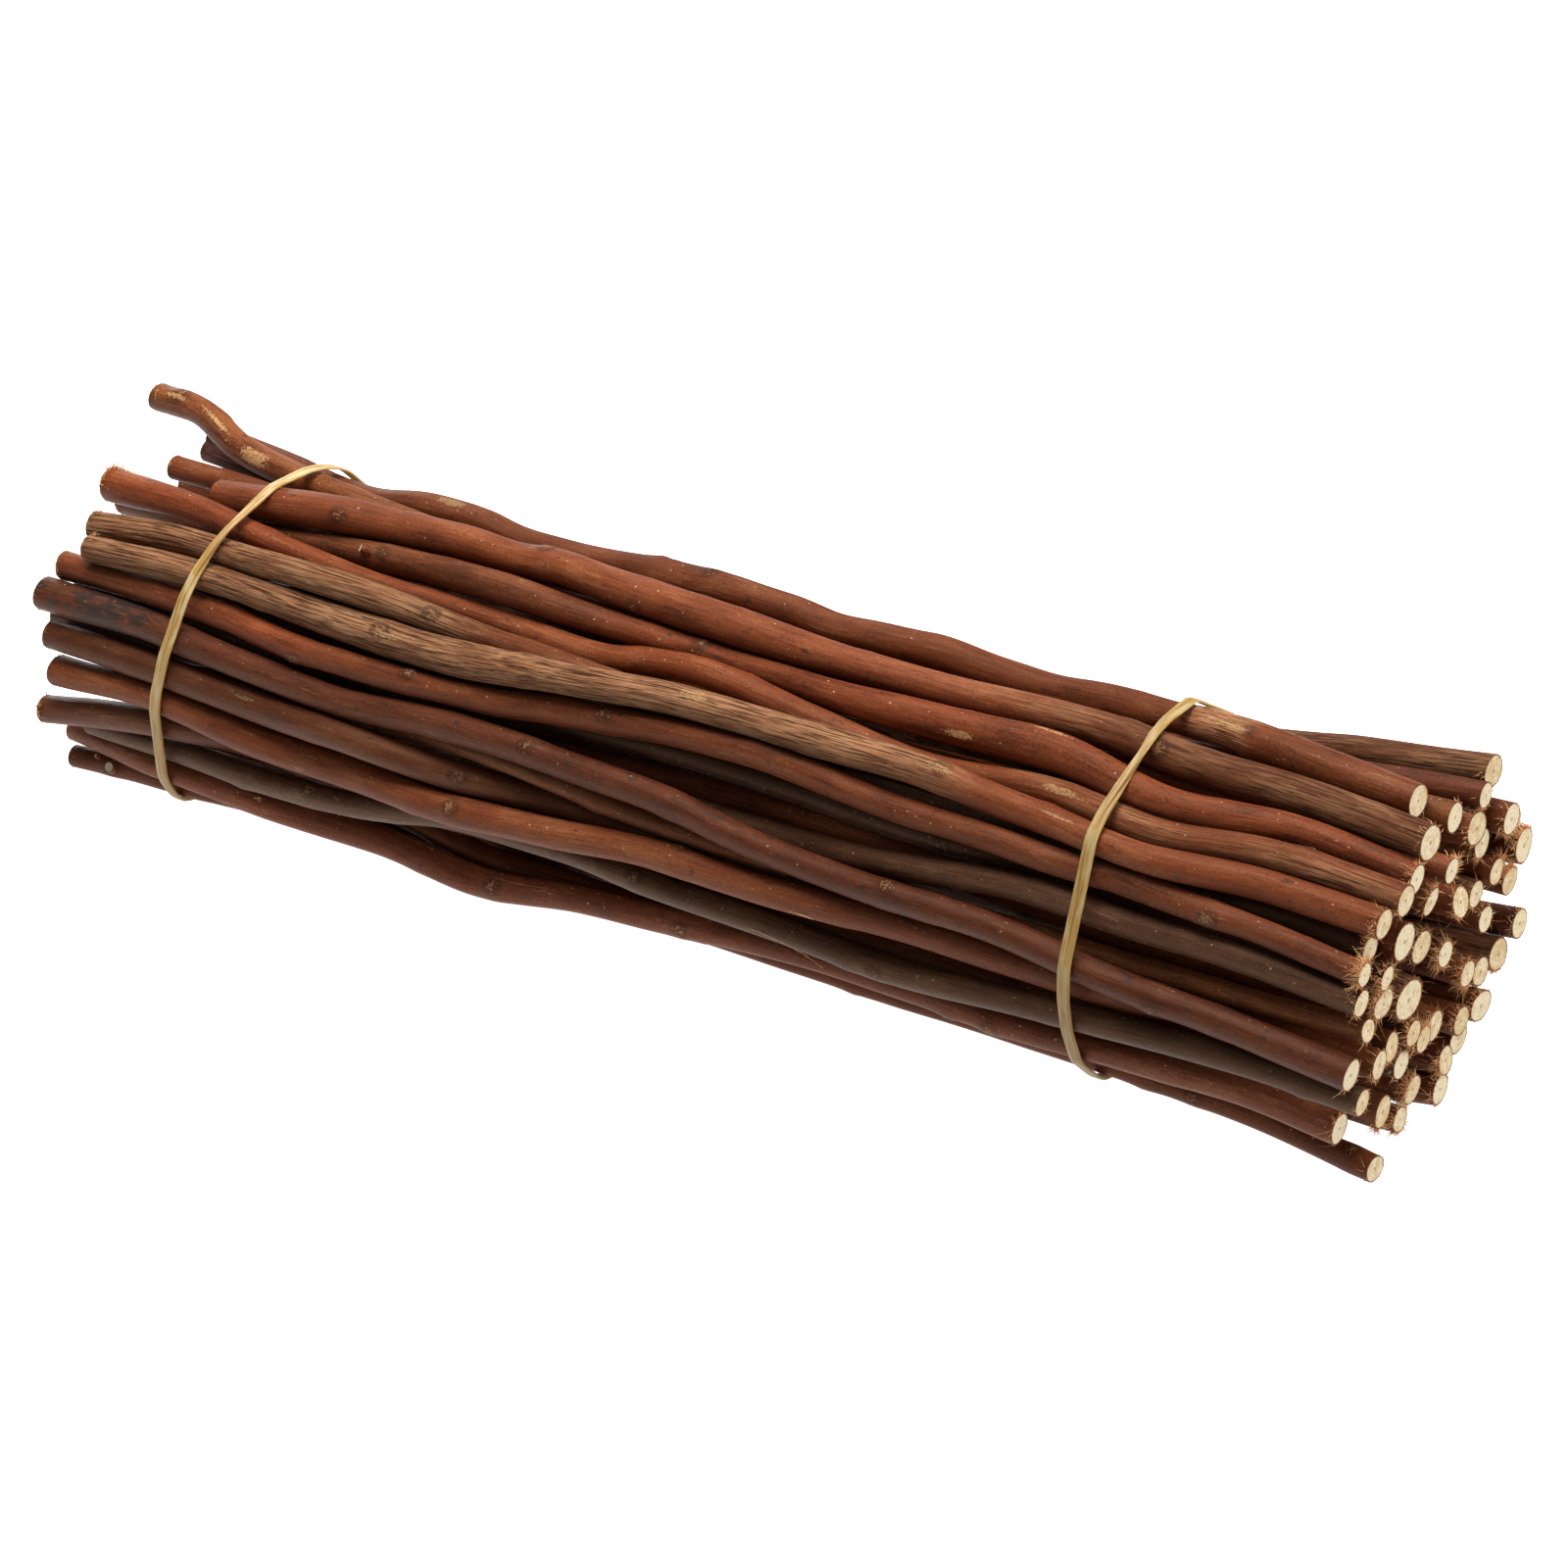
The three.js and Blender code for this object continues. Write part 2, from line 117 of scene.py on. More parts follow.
# The tables go by the twig's number. Bud scars seen on the twigs: place along the bundle in
# mm, turn upwards from the facing side in degrees, size in mm.
KNOTS = {
    2: [(-175, 37, 0.9)],
    3: [(-16, 50, 0.6), (132, 20, 0.5)],
    5: [(-108, -7, 0.8), (-52, 64, 0.9), (-22, -40, 0.8), (116, 5, 1.1)],
    6: [(-92, 18, 0.6), (-2, 44, 0.8)],
    8: [(-69, 19, 0.9)],
    9: [(-79, 14, 1.1), (73, 37, 0.9)],
    10: [(-128, 72, 0.9), (-102, -59, 0.9), (-69, 41, 1.0), (-14, 20, 0.9), (27, 72, 0.8),
         (123, 72, 0.9), (144, -29, 1.1)],
    12: [(74, -22, 0.8)],
    15: [(-32, 17, 0.9), (67, 33, 0.9), (135, -57, 0.9)],
    16: [(-52, -2, 0.9)],
    17: [(-51, 5, 0.9), (11, 67, 0.8)],
    19: [(-97, 19, 0.9), (-2, 5, 0.9), (63, -33, 0.8)],
    20: [(-48, -4, 0.9), (7, -31, 0.9), (91, -57, 1.0)],
    21: [(-166, -8, 1.0)],
    22: [(138, -18, 0.9), (177, 38, 0.8)],
}

# Scraped places: place along in mm, turn in degrees, length and width in mm.
SCRAPES = {
    2: [(-146, 0, 12, 4.6), (-162, 30, 13, 1.6), (-176, 20, 10, 1.2)],
    3: [(-91, 49, 9, 2.6), (126, 20, 12, 1.8)],
    6: [(71, -23, 8, 1.8), (92, 66, 13, 1.4)],
    7: [(-175, 60, 5, 6.0), (-168, 75, 9, 1.6), (100, 18, 13, 2.2)],
    9: [(-76, 8, 8, 1.8), (8, 30, 8, 3.2), (73, 30, 7, 1.8), (104, 28, 11, 0.7)],
    16: [(-114, 10, 9, 1.2)],
    17: [(-98, -48, 6, 1.6)],
    20: [(-117, 10, 3, 1.3)],
}

# How fissured the bark is along a twig: place in mm and amount.
FISSURES = {
    1: [(-180, 0.6), (180, 0.6)],
    3: [(110, 0.0), (116, 0.6), (131, 0.6), (137, 0.0)],
    5: [(40, 0.0), (110, 0.5), (180, 0.55)],
    7: [(50, 0.0), (120, 0.4), (180, 0.5)],
    8: [(-80, 1.0), (-50, 0.4), (0, 0.35)],
    9: [(20, 1.0), (60, 0.6), (75, 0.35), (90, 0.15), (180, 0.2)],
}

# Crooks between the solids' stations: place in mm, rise in mm, half width in mm.
BENDS = {
    2: [(-168, 2.2, 10), (-186, -1.2, 8)],
    3: [(-101, 0.9, 9), (-71, -0.8, 9), (-11, 0.6, 9), (19, -1.1, 9), (49, 0.8, 9), (79, -0.7, 9)],
    5: [(-63, -0.7, 8), (-46, 0.5, 7)],
    7: [(-15, 0.5, 6)],
    8: [(-128, -0.7, 24)],
    9: [(-120, 1.7, 24)],
    10: [(-125, 0.8, 9), (-101, -0.4, 8), (-43, -0.5, 8), (27, 0.5, 9), (121, 0.5, 9)],
    20: [(-74, 1.3, 22)],
    21: [(-90, 0.9, 14)],
    28: [(115, 1.3, 40)],
}

# Half thickness along a twig: place in mm and half thickness in mm.
GIRTHS = {
    3: [(100, 3.9), (109, 3.5), (129, 4.0), (139, 4.3), (154, 4.3), (167, 3.9)],
    5: [(-86, 4.25), (-56, 4.0), (-26, 4.3), (4, 4.7), (34, 3.8), (94, 3.8), (124, 4.2)],
    6: [(-116, 3.3), (-86, 3.75), (-56, 3.8), (-26, 3.2), (4, 3.1), (34, 3.3), (64, 4.0),
        (94, 4.4), (124, 4.0), (154, 3.4)],
    7: [(-172, 4.3), (-160, 3.9), (-149, 3.4), (-131, 3.0), (-26, 3.1), (4, 3.3), (154, 3.4),
        (180, 3.6)],
    9: [(-176, 3.3), (-116, 3.5), (-86, 4.2), (-56, 4.25), (-26, 3.5), (64, 3.6), (124, 3.1),
        (154, 3.45)],
    10: [(-176, 3.5), (-116, 3.2), (-56, 3.0), (-26, 3.5), (4, 3.1), (34, 3.6), (64, 3.0),
         (124, 3.15), (154, 2.8)],
    15: [(-176, 4.15), (-146, 3.7), (-86, 3.4), (-56, 3.75), (-26, 3.4), (4, 3.55), (34, 3.3),
         (154, 3.4), (180, 3.75)],
    16: [(-176, 3.5), (-146, 3.5), (-116, 3.9), (-86, 3.5)],
    17: [(-176, 3.95), (-146, 3.5), (-116, 4.0), (-86, 3.9), (-56, 3.65), (4, 3.4)],
    20: [(-176, 3.2), (-146, 3.2), (-116, 3.6), (-56, 3.7), (-26, 3.2), (94, 3.1), (154, 3.3),
         (172, 3.6)],
}

# Tint along a twig: place in mm, brightness and warmth. Partly the bark's own colour and partly
# painted light and shade: twig 20, low in the bundle, is brightened as painted light, and the
# right-hand parts of twigs 15, 17 and 19 are darkened as painted shade.
TINTS_AND_PAINTED_LIGHT = {
    1: [(0, 0.62, 0.2)],
    2: [(-150, 1.25, 0.3), (-100, 1.0, 0.0)],
    3: [(0, 0.8, 0.0), (110, 0.85, 0.0), (116, 1.2, 0.1), (132, 1.2, 0.1), (138, 0.85, -0.1)],
    5: [(-60, 1.15, 0.1), (60, 1.2, 0.0), (120, 0.62, 0.3)],
    6: [(-100, 1.0, -0.8), (-30, 1.1, -0.4), (-15, 1.15, 0.4)],
    7: [(-176, 1.15, 0.6), (-100, 1.15, 0.4), (120, 1.0, 0.2)],
    9: [(60, 1.0, 0.1), (90, 1.0, 0.3)],
    10: [(-130, 1.0, 0.2), (-115, 1.2, 0.9), (-95, 1.0, 0.1), (100, 0.9, -0.1)],
    11: [(0, 0.6, 0.0)],
    12: [(0, 0.6, 0.0)],
    13: [(0, 0.8, 0.2)],
    14: [(0, 0.85, 0.0)],
    15: [(-150, 1.0, -0.3), (-130, 0.85, 0.3), (40, 0.8, 0.4), (110, 0.56, 0.7)],
    16: [(0, 0.48, -0.2)],
    17: [(0, 1.1, 0.0), (80, 0.85, 0.1)],
    18: [(0, 0.9, -0.4)],
    19: [(-40, 1.05, -0.5), (40, 0.8, -0.4)],
    20: [(-20, 2.6, -0.4), (70, 1.8, -0.3)],
    22: [(0, 0.85, 0.0)],
}

# How frayed the right end of a twig is.
FRAYS = {
    1: 0.0, 2: 0.15, 3: 0.05, 4: 0.15, 5: 0.1, 6: 0.3, 7: 0.1, 8: 0.4, 9: 0.3, 10: 1.0, 12: 0.9,
    13: 0.3, 14: 0.2, 15: 0.15, 18: 0.5, 19: 0.2, 20: 0.2, 21: 0.9, 22: 0.15, 23: 0.6, 24: 0.6,
    26: 0.9, 27: 0.2, 28: 0.5, 32: 0.5, 33: 0.5, 34: 0.2, 38: 0.9, 39: 0.7, 41: 0.1, 43: 0.9,
    44: 0.8, 46: 0.9, 50: 0.9, 52: 0.8,
}

# Stubs of side shoots: place in mm, turn in degrees, radius and length in mm, lean along.
STUBS = {
    6: [(-95, 12, 1.0, 2.8, -0.9)],
    21: [(-165, -8, 1.3, 1.8, 0.1), (-169, 20, 0.5, 1.5, -0.6)],
}

# Loose fibres: twig, place in mm, turn in degrees, length and width in mm, way along and out.
LOOSE_FIBRES = [
    (18, -177, -70, 3.6, 0.28, -0.25, 1.0),
    (17, 42, -60, 9.0, 0.4, 1.0, 0.06),
    (19, 30, -40, 26.0, 0.22, 1.0, 0.02),
    (7, -170, 80, 5.0, 0.3, 0.7, 0.5),
    (7, -172, 95, 4.0, 0.35, -0.4, 0.7),
    (2, -181, 40, 3.0, 0.35, -0.5, 0.3),
    (28, 168, 60, 7.0, 0.16, 0.5, 0.9),
    (43, 178, 80, 6.0, 0.16, 0.6, 0.7),
]

# Blotched bark along a twig: place in mm and amount.
BLOTCHES = {
    15: [(-172, 0.4), (-166, 1.0), (-150, 1.0), (-138, 0.2)],
}


def srgb(*levels):
    """Linear colour of three levels from 0 to 255."""
    parts = [level / 255 for level in levels]
    return tuple(p / 12.92 if p <= 0.04045 else ((p + 0.055) / 1.055) ** 2.4 for p in parts)


# Shades of the kinds of bark.
PARTS = ("dark", "mid", "light")
BARK_SHADES = {
    "red": ((80, 37, 19), (128, 64, 35), (158, 94, 58)),
    "tan": ((72, 39, 22), (138, 88, 57), (188, 137, 98)),
    "purple": ((68, 32, 20), (106, 54, 33), (134, 80, 52)),
    "grey": ((54, 33, 22), (94, 60, 41), (126, 88, 62)),
    "amber": ((80, 41, 21), (136, 77, 42), (176, 118, 74)),
}

# Marks in the bark, the sawn wood and the rubber.
SCRATCH, DOT = srgb(196, 146, 108), srgb(214, 176, 136)
FLAKE, PIT = srgb(190, 140, 98), srgb(52, 26, 15)
SCAR_DARK, SCAR_PALE = srgb(48, 25, 15), srgb(182, 134, 92)
BARE_DARK, SHEEN = srgb(150, 100, 60), srgb(255, 214, 184)
BLACK_PATCH, BROWN_PATCH = srgb(46, 41, 40), srgb(60, 32, 22)
FLECK, PITH, WOOD_RIM = srgb(140, 98, 58), srgb(150, 104, 60), srgb(122, 70, 38)
# The pale rubber colour is a painted highlight.
RUBBER_DARK, RUBBER_PAINTED_HIGHLIGHT = srgb(184, 138, 68), srgb(248, 230, 182)
RUBBER_AMBER, RUBBER_CREAM = srgb(172, 124, 54), srgb(240, 220, 170)


def number_property(name, description, default, **limits):
    """A plain number."""
    return FloatProperty(name=name, description=description, default=default, **limits)


def length_property(name, description, default):
    """A length in metres."""
    return number_property(name, description, default, min=0.0, precision=5, unit="LENGTH")


def colour_property(name, description, default):
    """A colour."""
    return FloatVectorProperty(name=name, description=description, default=default, min=0.0,
                               max=1.0, size=3, subtype="COLOR")


class TwigSettings(bpy.types.PropertyGroup):
    """Sizes of the twigs."""
    sides: IntProperty(name="Sides", description="Sides of a twig", default=32, min=8)
    fissured_sides: IntProperty(name="Fissured Sides", description="Sides of a fissured twig",
                                default=64, min=8)
    inner_sides: IntProperty(name="Inner Sides", description="Sides of a covered twig",
                             default=20, min=8)
    crook: length_property("Crook", "How far a twig strays from a smooth line", 0.0002)
    # Painted shade: the bark is darkened where twigs meet, standing in for the shadow in the gaps
    # between them.
    painted_shade: number_property("Painted Shade", "How dark the bark is where twigs meet", 0.84,
                           min=0.0, max=1.0)
    painted_shade_reach: length_property("Grime Reach", "How far the dark reaches from a neighbour",
                                 0.0016)
    ridge: length_property("Ridge", "Height of the ridges of fissured bark", 0.0001)


def with_shades(group):
    """Add the shades of every kind of bark to a group of colours."""
    for kind, shades in BARK_SHADES.items():
        for part, levels in zip(PARTS, shades):
            group.__annotations__[f"{kind}_{part}"] = colour_property(
                f"{kind} {part}".title(), f"{part} shade of {kind} bark".capitalize(),
                srgb(*levels))
    return group


@with_shades
class BarkColours(bpy.types.PropertyGroup):
    """Colours of bark and wood."""
    scraped: colour_property("Scraped", "Bark that is scraped off", srgb(204, 166, 116))
    wood: colour_property("Wood", "Cut wood", srgb(246, 230, 194))
    wood_dark: colour_property("Wood Dark", "Pores and rings of cut wood", srgb(222, 190, 140))
    fibre: colour_property("Fibre", "Frayed fibres", srgb(208, 126, 64))
    fibre_light: colour_property("Fibre Light", "Pale frayed fibres", srgb(248, 206, 146))


class BandSettings(bpy.types.PropertyGroup):
    """Sizes and colour of the rubber bands."""
    width: length_property("Width", "Width of one strand", 0.0017)
    thickness: length_property("Thickness", "Thickness of one strand", 0.0008)
    spread: length_property("Spread", "Distance of a strand from the middle", 0.00075)
    rubber: colour_property("Rubber", "Rubber", srgb(222, 186, 110))
    left_tint: colour_property("Left Tint", "Tint of the left band", (1.0, 0.98, 0.95))
    right_tint: colour_property("Right Tint", "Tint of the right band", (0.72, 0.68, 0.58))


class StageSettings(bpy.types.PropertyGroup):
    """Floor, light and camera."""
    azimuth: number_property("Azimuth", "Camera azimuth", math.radians(33.2), subtype="ANGLE")
    elevation: number_property("Elevation", "Camera elevation", math.radians(27.8),
                               subtype="ANGLE")
    distance: length_property("Distance", "Distance of the camera", 1.138)
    lens: number_property("Lens", "Focal length in mm", 112.5)
    aim: FloatVectorProperty(name="Aim", description="Where the camera looks", size=3,
                             subtype="TRANSLATION", default=(0.0155, -0.0034, 0.0396))
    floor: colour_property("Floor", "Floor", (0.9, 0.9, 0.9))
    key_power: number_property("Key Power", "Power of the light above in W", 20.0)
    end_power: number_property("End Power", "Power of the light on the sawn ends in W", 11.0)
    sky: number_property("Sky", "Strength of the light above and below", 0.3)
    horizon: number_property("Horizon", "Share of that light at the horizon", 0.45)


class Shade:
    """One output of a shader node; arithmetic on it adds Math nodes."""

    def __init__(self, graph, socket):
        self.graph = graph
        self.socket = socket

    def math(self, operation, *values):
        return self.graph.node("ShaderNodeMath", dict(enumerate(values)),
                               {"operation": operation})

    def __add__(self, other):
        return self.math("ADD", self, other)

    def __sub__(self, other):
        return self.math("SUBTRACT", self, other)

    def __mul__(self, other):
        return self.math("MULTIPLY", self, other)

    def __rmul__(self, other):
        return self.math("MULTIPLY", other, self)

    def __abs__(self):
        return self.math("ABSOLUTE", self)


class Graph:
    """The node tree of one material or world."""

    def __init__(self, name, library="materials"):
        self.owner = getattr(bpy.data, library).new(name)
        self.owner.use_nodes = True
        self.tree = self.owner.node_tree
        self.tree.nodes.clear()

    def node(self, kind, sockets=None, settings=None, output=0):
        """Add a node, set it up, feed its sockets and give one of its outputs."""
        node = self.tree.nodes.new(kind)
        for key, value in (settings or {}).items():
            setattr(node, key, value)
        for key, value in (sockets or {}).items():
            target = node.inputs[key]
            if isinstance(value, Shade):
                self.tree.links.new(value.socket, target)
            elif hasattr(target.default_value, "__len__") and len(target.default_value) == 4:
                target.default_value = (*value[:3], 1.0)
            else:
                target.default_value = value
        return Shade(self, node.outputs[output])

    def value(self, name):
        return self.node("ShaderNodeAttribute", {}, {"attribute_name": name}, 2)

    def vector(self, name):
        return self.node("ShaderNodeAttribute", {}, {"attribute_name": name}, 1)

    def stretch(self, vector, scale):
        return self.node("ShaderNodeVectorMath", {0: vector, 1: scale},
                         {"operation": "MULTIPLY"})

    def noise(self, vector, scale, detail, roughness, distortion=0.0):
        return self.node("ShaderNodeTexNoise", {
            "Vector": self.stretch(vector, scale), "Scale": 1.0, "Detail": detail,
            "Roughness": roughness, "Distortion": distortion})

    def cells(self, vector, scale, output=0):
        return self.node("ShaderNodeTexVoronoi", {
            "Vector": self.stretch(vector, scale), "Scale": 1.0}, output=output)

    def step(self, value, low, high, to_low=0.0, to_high=1.0):
        return self.node("ShaderNodeMapRange", {
            "Value": value, "From Min": low, "From Max": high, "To Min": to_low,
            "To Max": to_high}, {"interpolation_type": "SMOOTHSTEP"})

    def mix(self, factor, first, second):
        return self.node("ShaderNodeMix", {0: factor, 6: first, 7: second},
                         {"data_type": "RGBA"}, 2)

    def bump(self, height, distance, strength):
        return self.node("ShaderNodeBump", {
            "Height": height, "Distance": distance, "Strength": strength})

    def finish(self, **sockets):
        named = {key.replace("_", " "): value for key, value in sockets.items()}
        surface = self.node("ShaderNodeBsdfPrincipled", named)
        return self.show(surface, "ShaderNodeOutputMaterial")

    def show(self, surface, kind):
        """Join the last node to an output node and give what the tree belongs to."""
        output = self.tree.nodes.new(kind)
        self.tree.links.new(surface.socket, output.inputs["Surface"])
        return self.owner


def bark_material(name, dark, mid, light, patch, colours):
    """Bark that follows the twig's own grain, with scars, scrapes and fissures."""
    graph = Graph(name)
    grain = graph.vector("grain")
    knot = graph.value("knot")
    # Smooth bark: shades, blotches, scratches, dots, fine lines and flakes.
    cloud = graph.noise(grain, (0.045, 0.16, 0.16), 2.0, 0.6)
    streak = graph.noise(grain, (0.035, 0.9, 0.9), 3.0, 0.6)
    fine = graph.noise(grain, (0.16, 2.8, 2.8), 3.0, 0.65)
    speckle = graph.noise(grain, (1.5, 1.8, 1.8), 2.0, 0.6)
    level = 0.36 * cloud + 0.16 * streak + 0.26 * fine + 0.22 * speckle
    level = level + (graph.value("tone") - 0.5) * 0.08
    smooth = graph.mix(graph.step(level, 0.36, 0.5), dark, mid)
    smooth = graph.mix(graph.step(level, 0.49, 0.62), smooth, light)
    blotch = graph.noise(grain, (0.22, 0.4, 0.4), 4.0, 0.75) + 0.2 * graph.value("blotch")
    smooth = graph.mix(graph.step(blotch, 0.6, 0.7) * 0.85, smooth, patch)
    dash = graph.noise(grain, (0.1, 2.8, 2.8), 2.0, 0.6, 1.0)
    scratch = graph.step(dash, 0.62, 0.7) * graph.step(cloud, 0.45, 0.58)
    smooth = graph.mix(scratch * 0.4, smooth, SCRATCH)
    spread = (0.36, 0.5, 0.5)
    chosen = graph.step(graph.cells(grain, spread, 1), 0.46, 0.66)
    dot = graph.step(graph.cells(grain, spread), 0.06, 0.14, 1.0, 0.0) * chosen
    smooth = graph.mix(dot * 0.75, smooth, DOT)
    hair = graph.noise(grain, (0.07, 3.0, 3.0), 2.0, 0.6, 0.4)
    smooth = graph.mix(graph.step(hair, 0.34, 0.44, 1.0, 0.0) * 0.45, smooth, dark)
    smooth = graph.mix(graph.step(hair, 0.58, 0.68) * 0.3, smooth, light)
    flake = graph.noise(grain, (0.8, 1.3, 1.3), 4.0, 0.7)
    smooth = graph.mix(graph.step(flake, 0.66, 0.7) * 0.5, smooth, FLAKE)
    smooth = graph.mix(graph.step(flake, 0.3, 0.36, 1.0, 0.0) * 0.5, smooth, PIT)
    # Fissured bark: pale ridges and dark grooves.
    crack = graph.noise(grain, (0.08, 3.2, 3.2), 3.0, 0.65, 0.5)
    groove = graph.step(crack, 0.52, 0.59)
    rough = graph.mix(graph.step(0.6 * fine + 0.4 * cloud, 0.38, 0.6), colours.tan_mid,
                      colours.tan_light)
    rough = graph.mix(groove * 0.95, rough, colours.tan_dark)
    fissure = graph.step(graph.value("fissure") + (cloud - 0.5) * 0.8, 0.2, 0.8)
    bark = graph.mix(fissure, smooth, rough)
    # Bud scars and scraped places.
    ring = graph.step(knot + (speckle - 0.5) * 0.5, 0.12, 0.4)
    bark = graph.mix(ring * 0.55, bark, SCAR_DARK)
    crumb = graph.step(knot * 0.78 + (speckle - 0.5) * 1.8, 0.54, 0.66)
    bark = graph.mix(crumb * 0.6, bark, SCAR_PALE)
    worn = graph.value("scrape") + (streak - 0.5) * 0.8 + (speckle - 0.5) * 1.1
    scrape = graph.step(worn, 0.42, 0.66)
    bare = graph.mix(graph.step(0.5 * fine + 0.5 * speckle, 0.36, 0.6), BARE_DARK,
                     colours.scraped)
    bark = graph.mix(scrape * 0.75, bark, bare)
    # Painted light and shade: the tint attribute holds each twig's tint with its painted light,
    # darkened as painted shade where twigs meet.
    bark = graph.stretch(bark, graph.vector("tint"))
    height = 0.3 * streak + 0.3 * fine + 0.3 * hair - 0.9 * groove * fissure
    return graph.finish(
        Base_Color=bark,
        Roughness=graph.step(fine + 0.5 * fissure + 0.3 * scrape, 0.2, 1.2, 0.45, 0.8),
        Normal=graph.bump(height, 0.00026, 0.9),
        Specular_IOR_Level=0.3, Specular_Tint=SHEEN)


def wood_material(name, colours):
    """Sawn end of a twig: pale wood with rings, pores, a small pith and a brown rim."""
    graph = Graph(name)
    grain = graph.vector("grain")
    rim = graph.value("rim")
    pore = graph.noise(grain, (1.0, 2.6, 2.6), 3.0, 0.65)
    patch = graph.noise(grain, (0.5, 0.5, 0.5), 2.0, 0.5)
    shade = pore + (patch - 0.5) * 0.7 + (graph.value("tone") - 0.4) * 0.3
    wood = graph.mix(graph.step(shade, 0.42, 0.72), colours.wood, colours.wood_dark)
    for place in (0.38, 0.68):
        ring = graph.step(abs(rim + (patch - 0.5) * 0.2 - place), 0.0, 0.06, 1.0, 0.0)
        wood = graph.mix(ring * 0.35, wood, colours.wood_dark)
    fleck = graph.step(graph.cells(grain, (1.0, 1.1, 1.1)), 0.08, 0.2, 1.0, 0.0)
    wood = graph.mix(fleck * 0.5, wood, FLECK)
    pith = graph.step(rim + (pore - 0.5) * 0.12, 0.08, 0.16, 1.0, 0.0)
    wood = graph.mix(pith * 0.6, wood, PITH)
    bark = graph.step(rim + (pore - 0.5) * 0.16, 0.86, 0.95)
    wood = graph.mix(bark, wood, WOOD_RIM)
    return graph.finish(Base_Color=wood, Roughness=0.85, Specular_IOR_Level=0.2,
                        Normal=graph.bump(pore, 0.00008, 0.8))


def fibre_material(name, dark, light):
    """Torn fibres, each with its own tone."""
    graph = Graph(name)
    colour = graph.mix(graph.value("tone"), dark, light)
    return graph.finish(Base_Color=colour, Roughness=0.75)


def rubber_material(name, rubber, tint):
    """Rubber with streaks along the strand, the palest of them painted highlights, paler and
    darker lengths and a faint painted glow.
    """
    graph = Graph(name)
    grain = graph.vector("grain")
    streak = graph.noise(grain, (0.06, 1.6, 1.6), 3.0, 0.6)
    colour = graph.mix(graph.step(streak, 0.34, 0.6), RUBBER_DARK, rubber)
    # Painted highlight: the palest streaks along the strand.
    colour = graph.mix(graph.step(streak, 0.55, 0.72) * 0.7, colour, RUBBER_PAINTED_HIGHLIGHT)
    length = graph.noise(grain, (0.07, 0.3, 0.3), 2.0, 0.6)
    colour = graph.mix(graph.step(length, 0.36, 0.5, 0.6, 0.0), colour, RUBBER_AMBER)
    colour = graph.mix(graph.step(length, 0.52, 0.64, 0.0, 0.6), colour, RUBBER_CREAM)
    colour = graph.stretch(colour, tint)
    # Painted light: the rubber glows faintly in its own colour, standing in for light shining
    # through it.
    return graph.finish(Base_Color=colour, Roughness=0.45, Emission_Color=colour,
                        Emission_Strength=0.06,
                        Normal=graph.bump(streak, 0.0002, 0.5))


def mesh_points(piece):
    """The vertices of a piece as rows."""
    flat = np.empty(len(piece.data.vertices) * 3)
    piece.data.vertices.foreach_get("co", flat)
    return flat.reshape(-1, 3)


def set_points(piece, points):
    """Move the vertices of a piece."""
    piece.data.vertices.foreach_set("co", np.asarray(points, dtype=np.float32).ravel())
    piece.data.update()


def store(piece, name, values):
    """Store a number or a vector on each vertex."""
    values = np.asarray(values, dtype=np.float32)
    kind, key = ("FLOAT", "value") if values.ndim == 1 else ("FLOAT_VECTOR", "vector")
    layer = piece.data.attributes.new(name=name, type=kind, domain="POINT")
    layer.data.foreach_set(key, values.ravel())


def waves(rng, x, lengths):
    """A smooth wandering between about -1 and 1 along x, in metres."""
    total = np.zeros_like(x)
    for length in lengths:
        total += np.sin(2 * math.pi * x / length + rng.uniform(0, 2 * math.pi))
    return total / len(lengths)


def along_list(rows, x, column):
    """One column of a list of places in mm, read at the places x in metres."""
    return np.interp(x * 1000, [row[0] for row in rows], [row[column] for row in rows])


def facing(turn):
    """Angle round a twig, turned upwards in degrees from the facing side."""
    return FACING_ANGLE - math.radians(turn)


def unit(rows):
    """Rows scaled to length 1."""
    return rows / np.linalg.norm(rows, axis=1)[:, None]


def on_ring(ring, bearings, where):
    """Points of a closed ring at other bearings."""
    return np.stack([np.interp(where, bearings, column, period=2 * math.pi)
                     for column in ring.T], axis=1)


def angle_between(first, second):
    """Difference of two angles, from -pi to pi."""
    return (first - second + math.pi) % (2 * math.pi) - math.pi


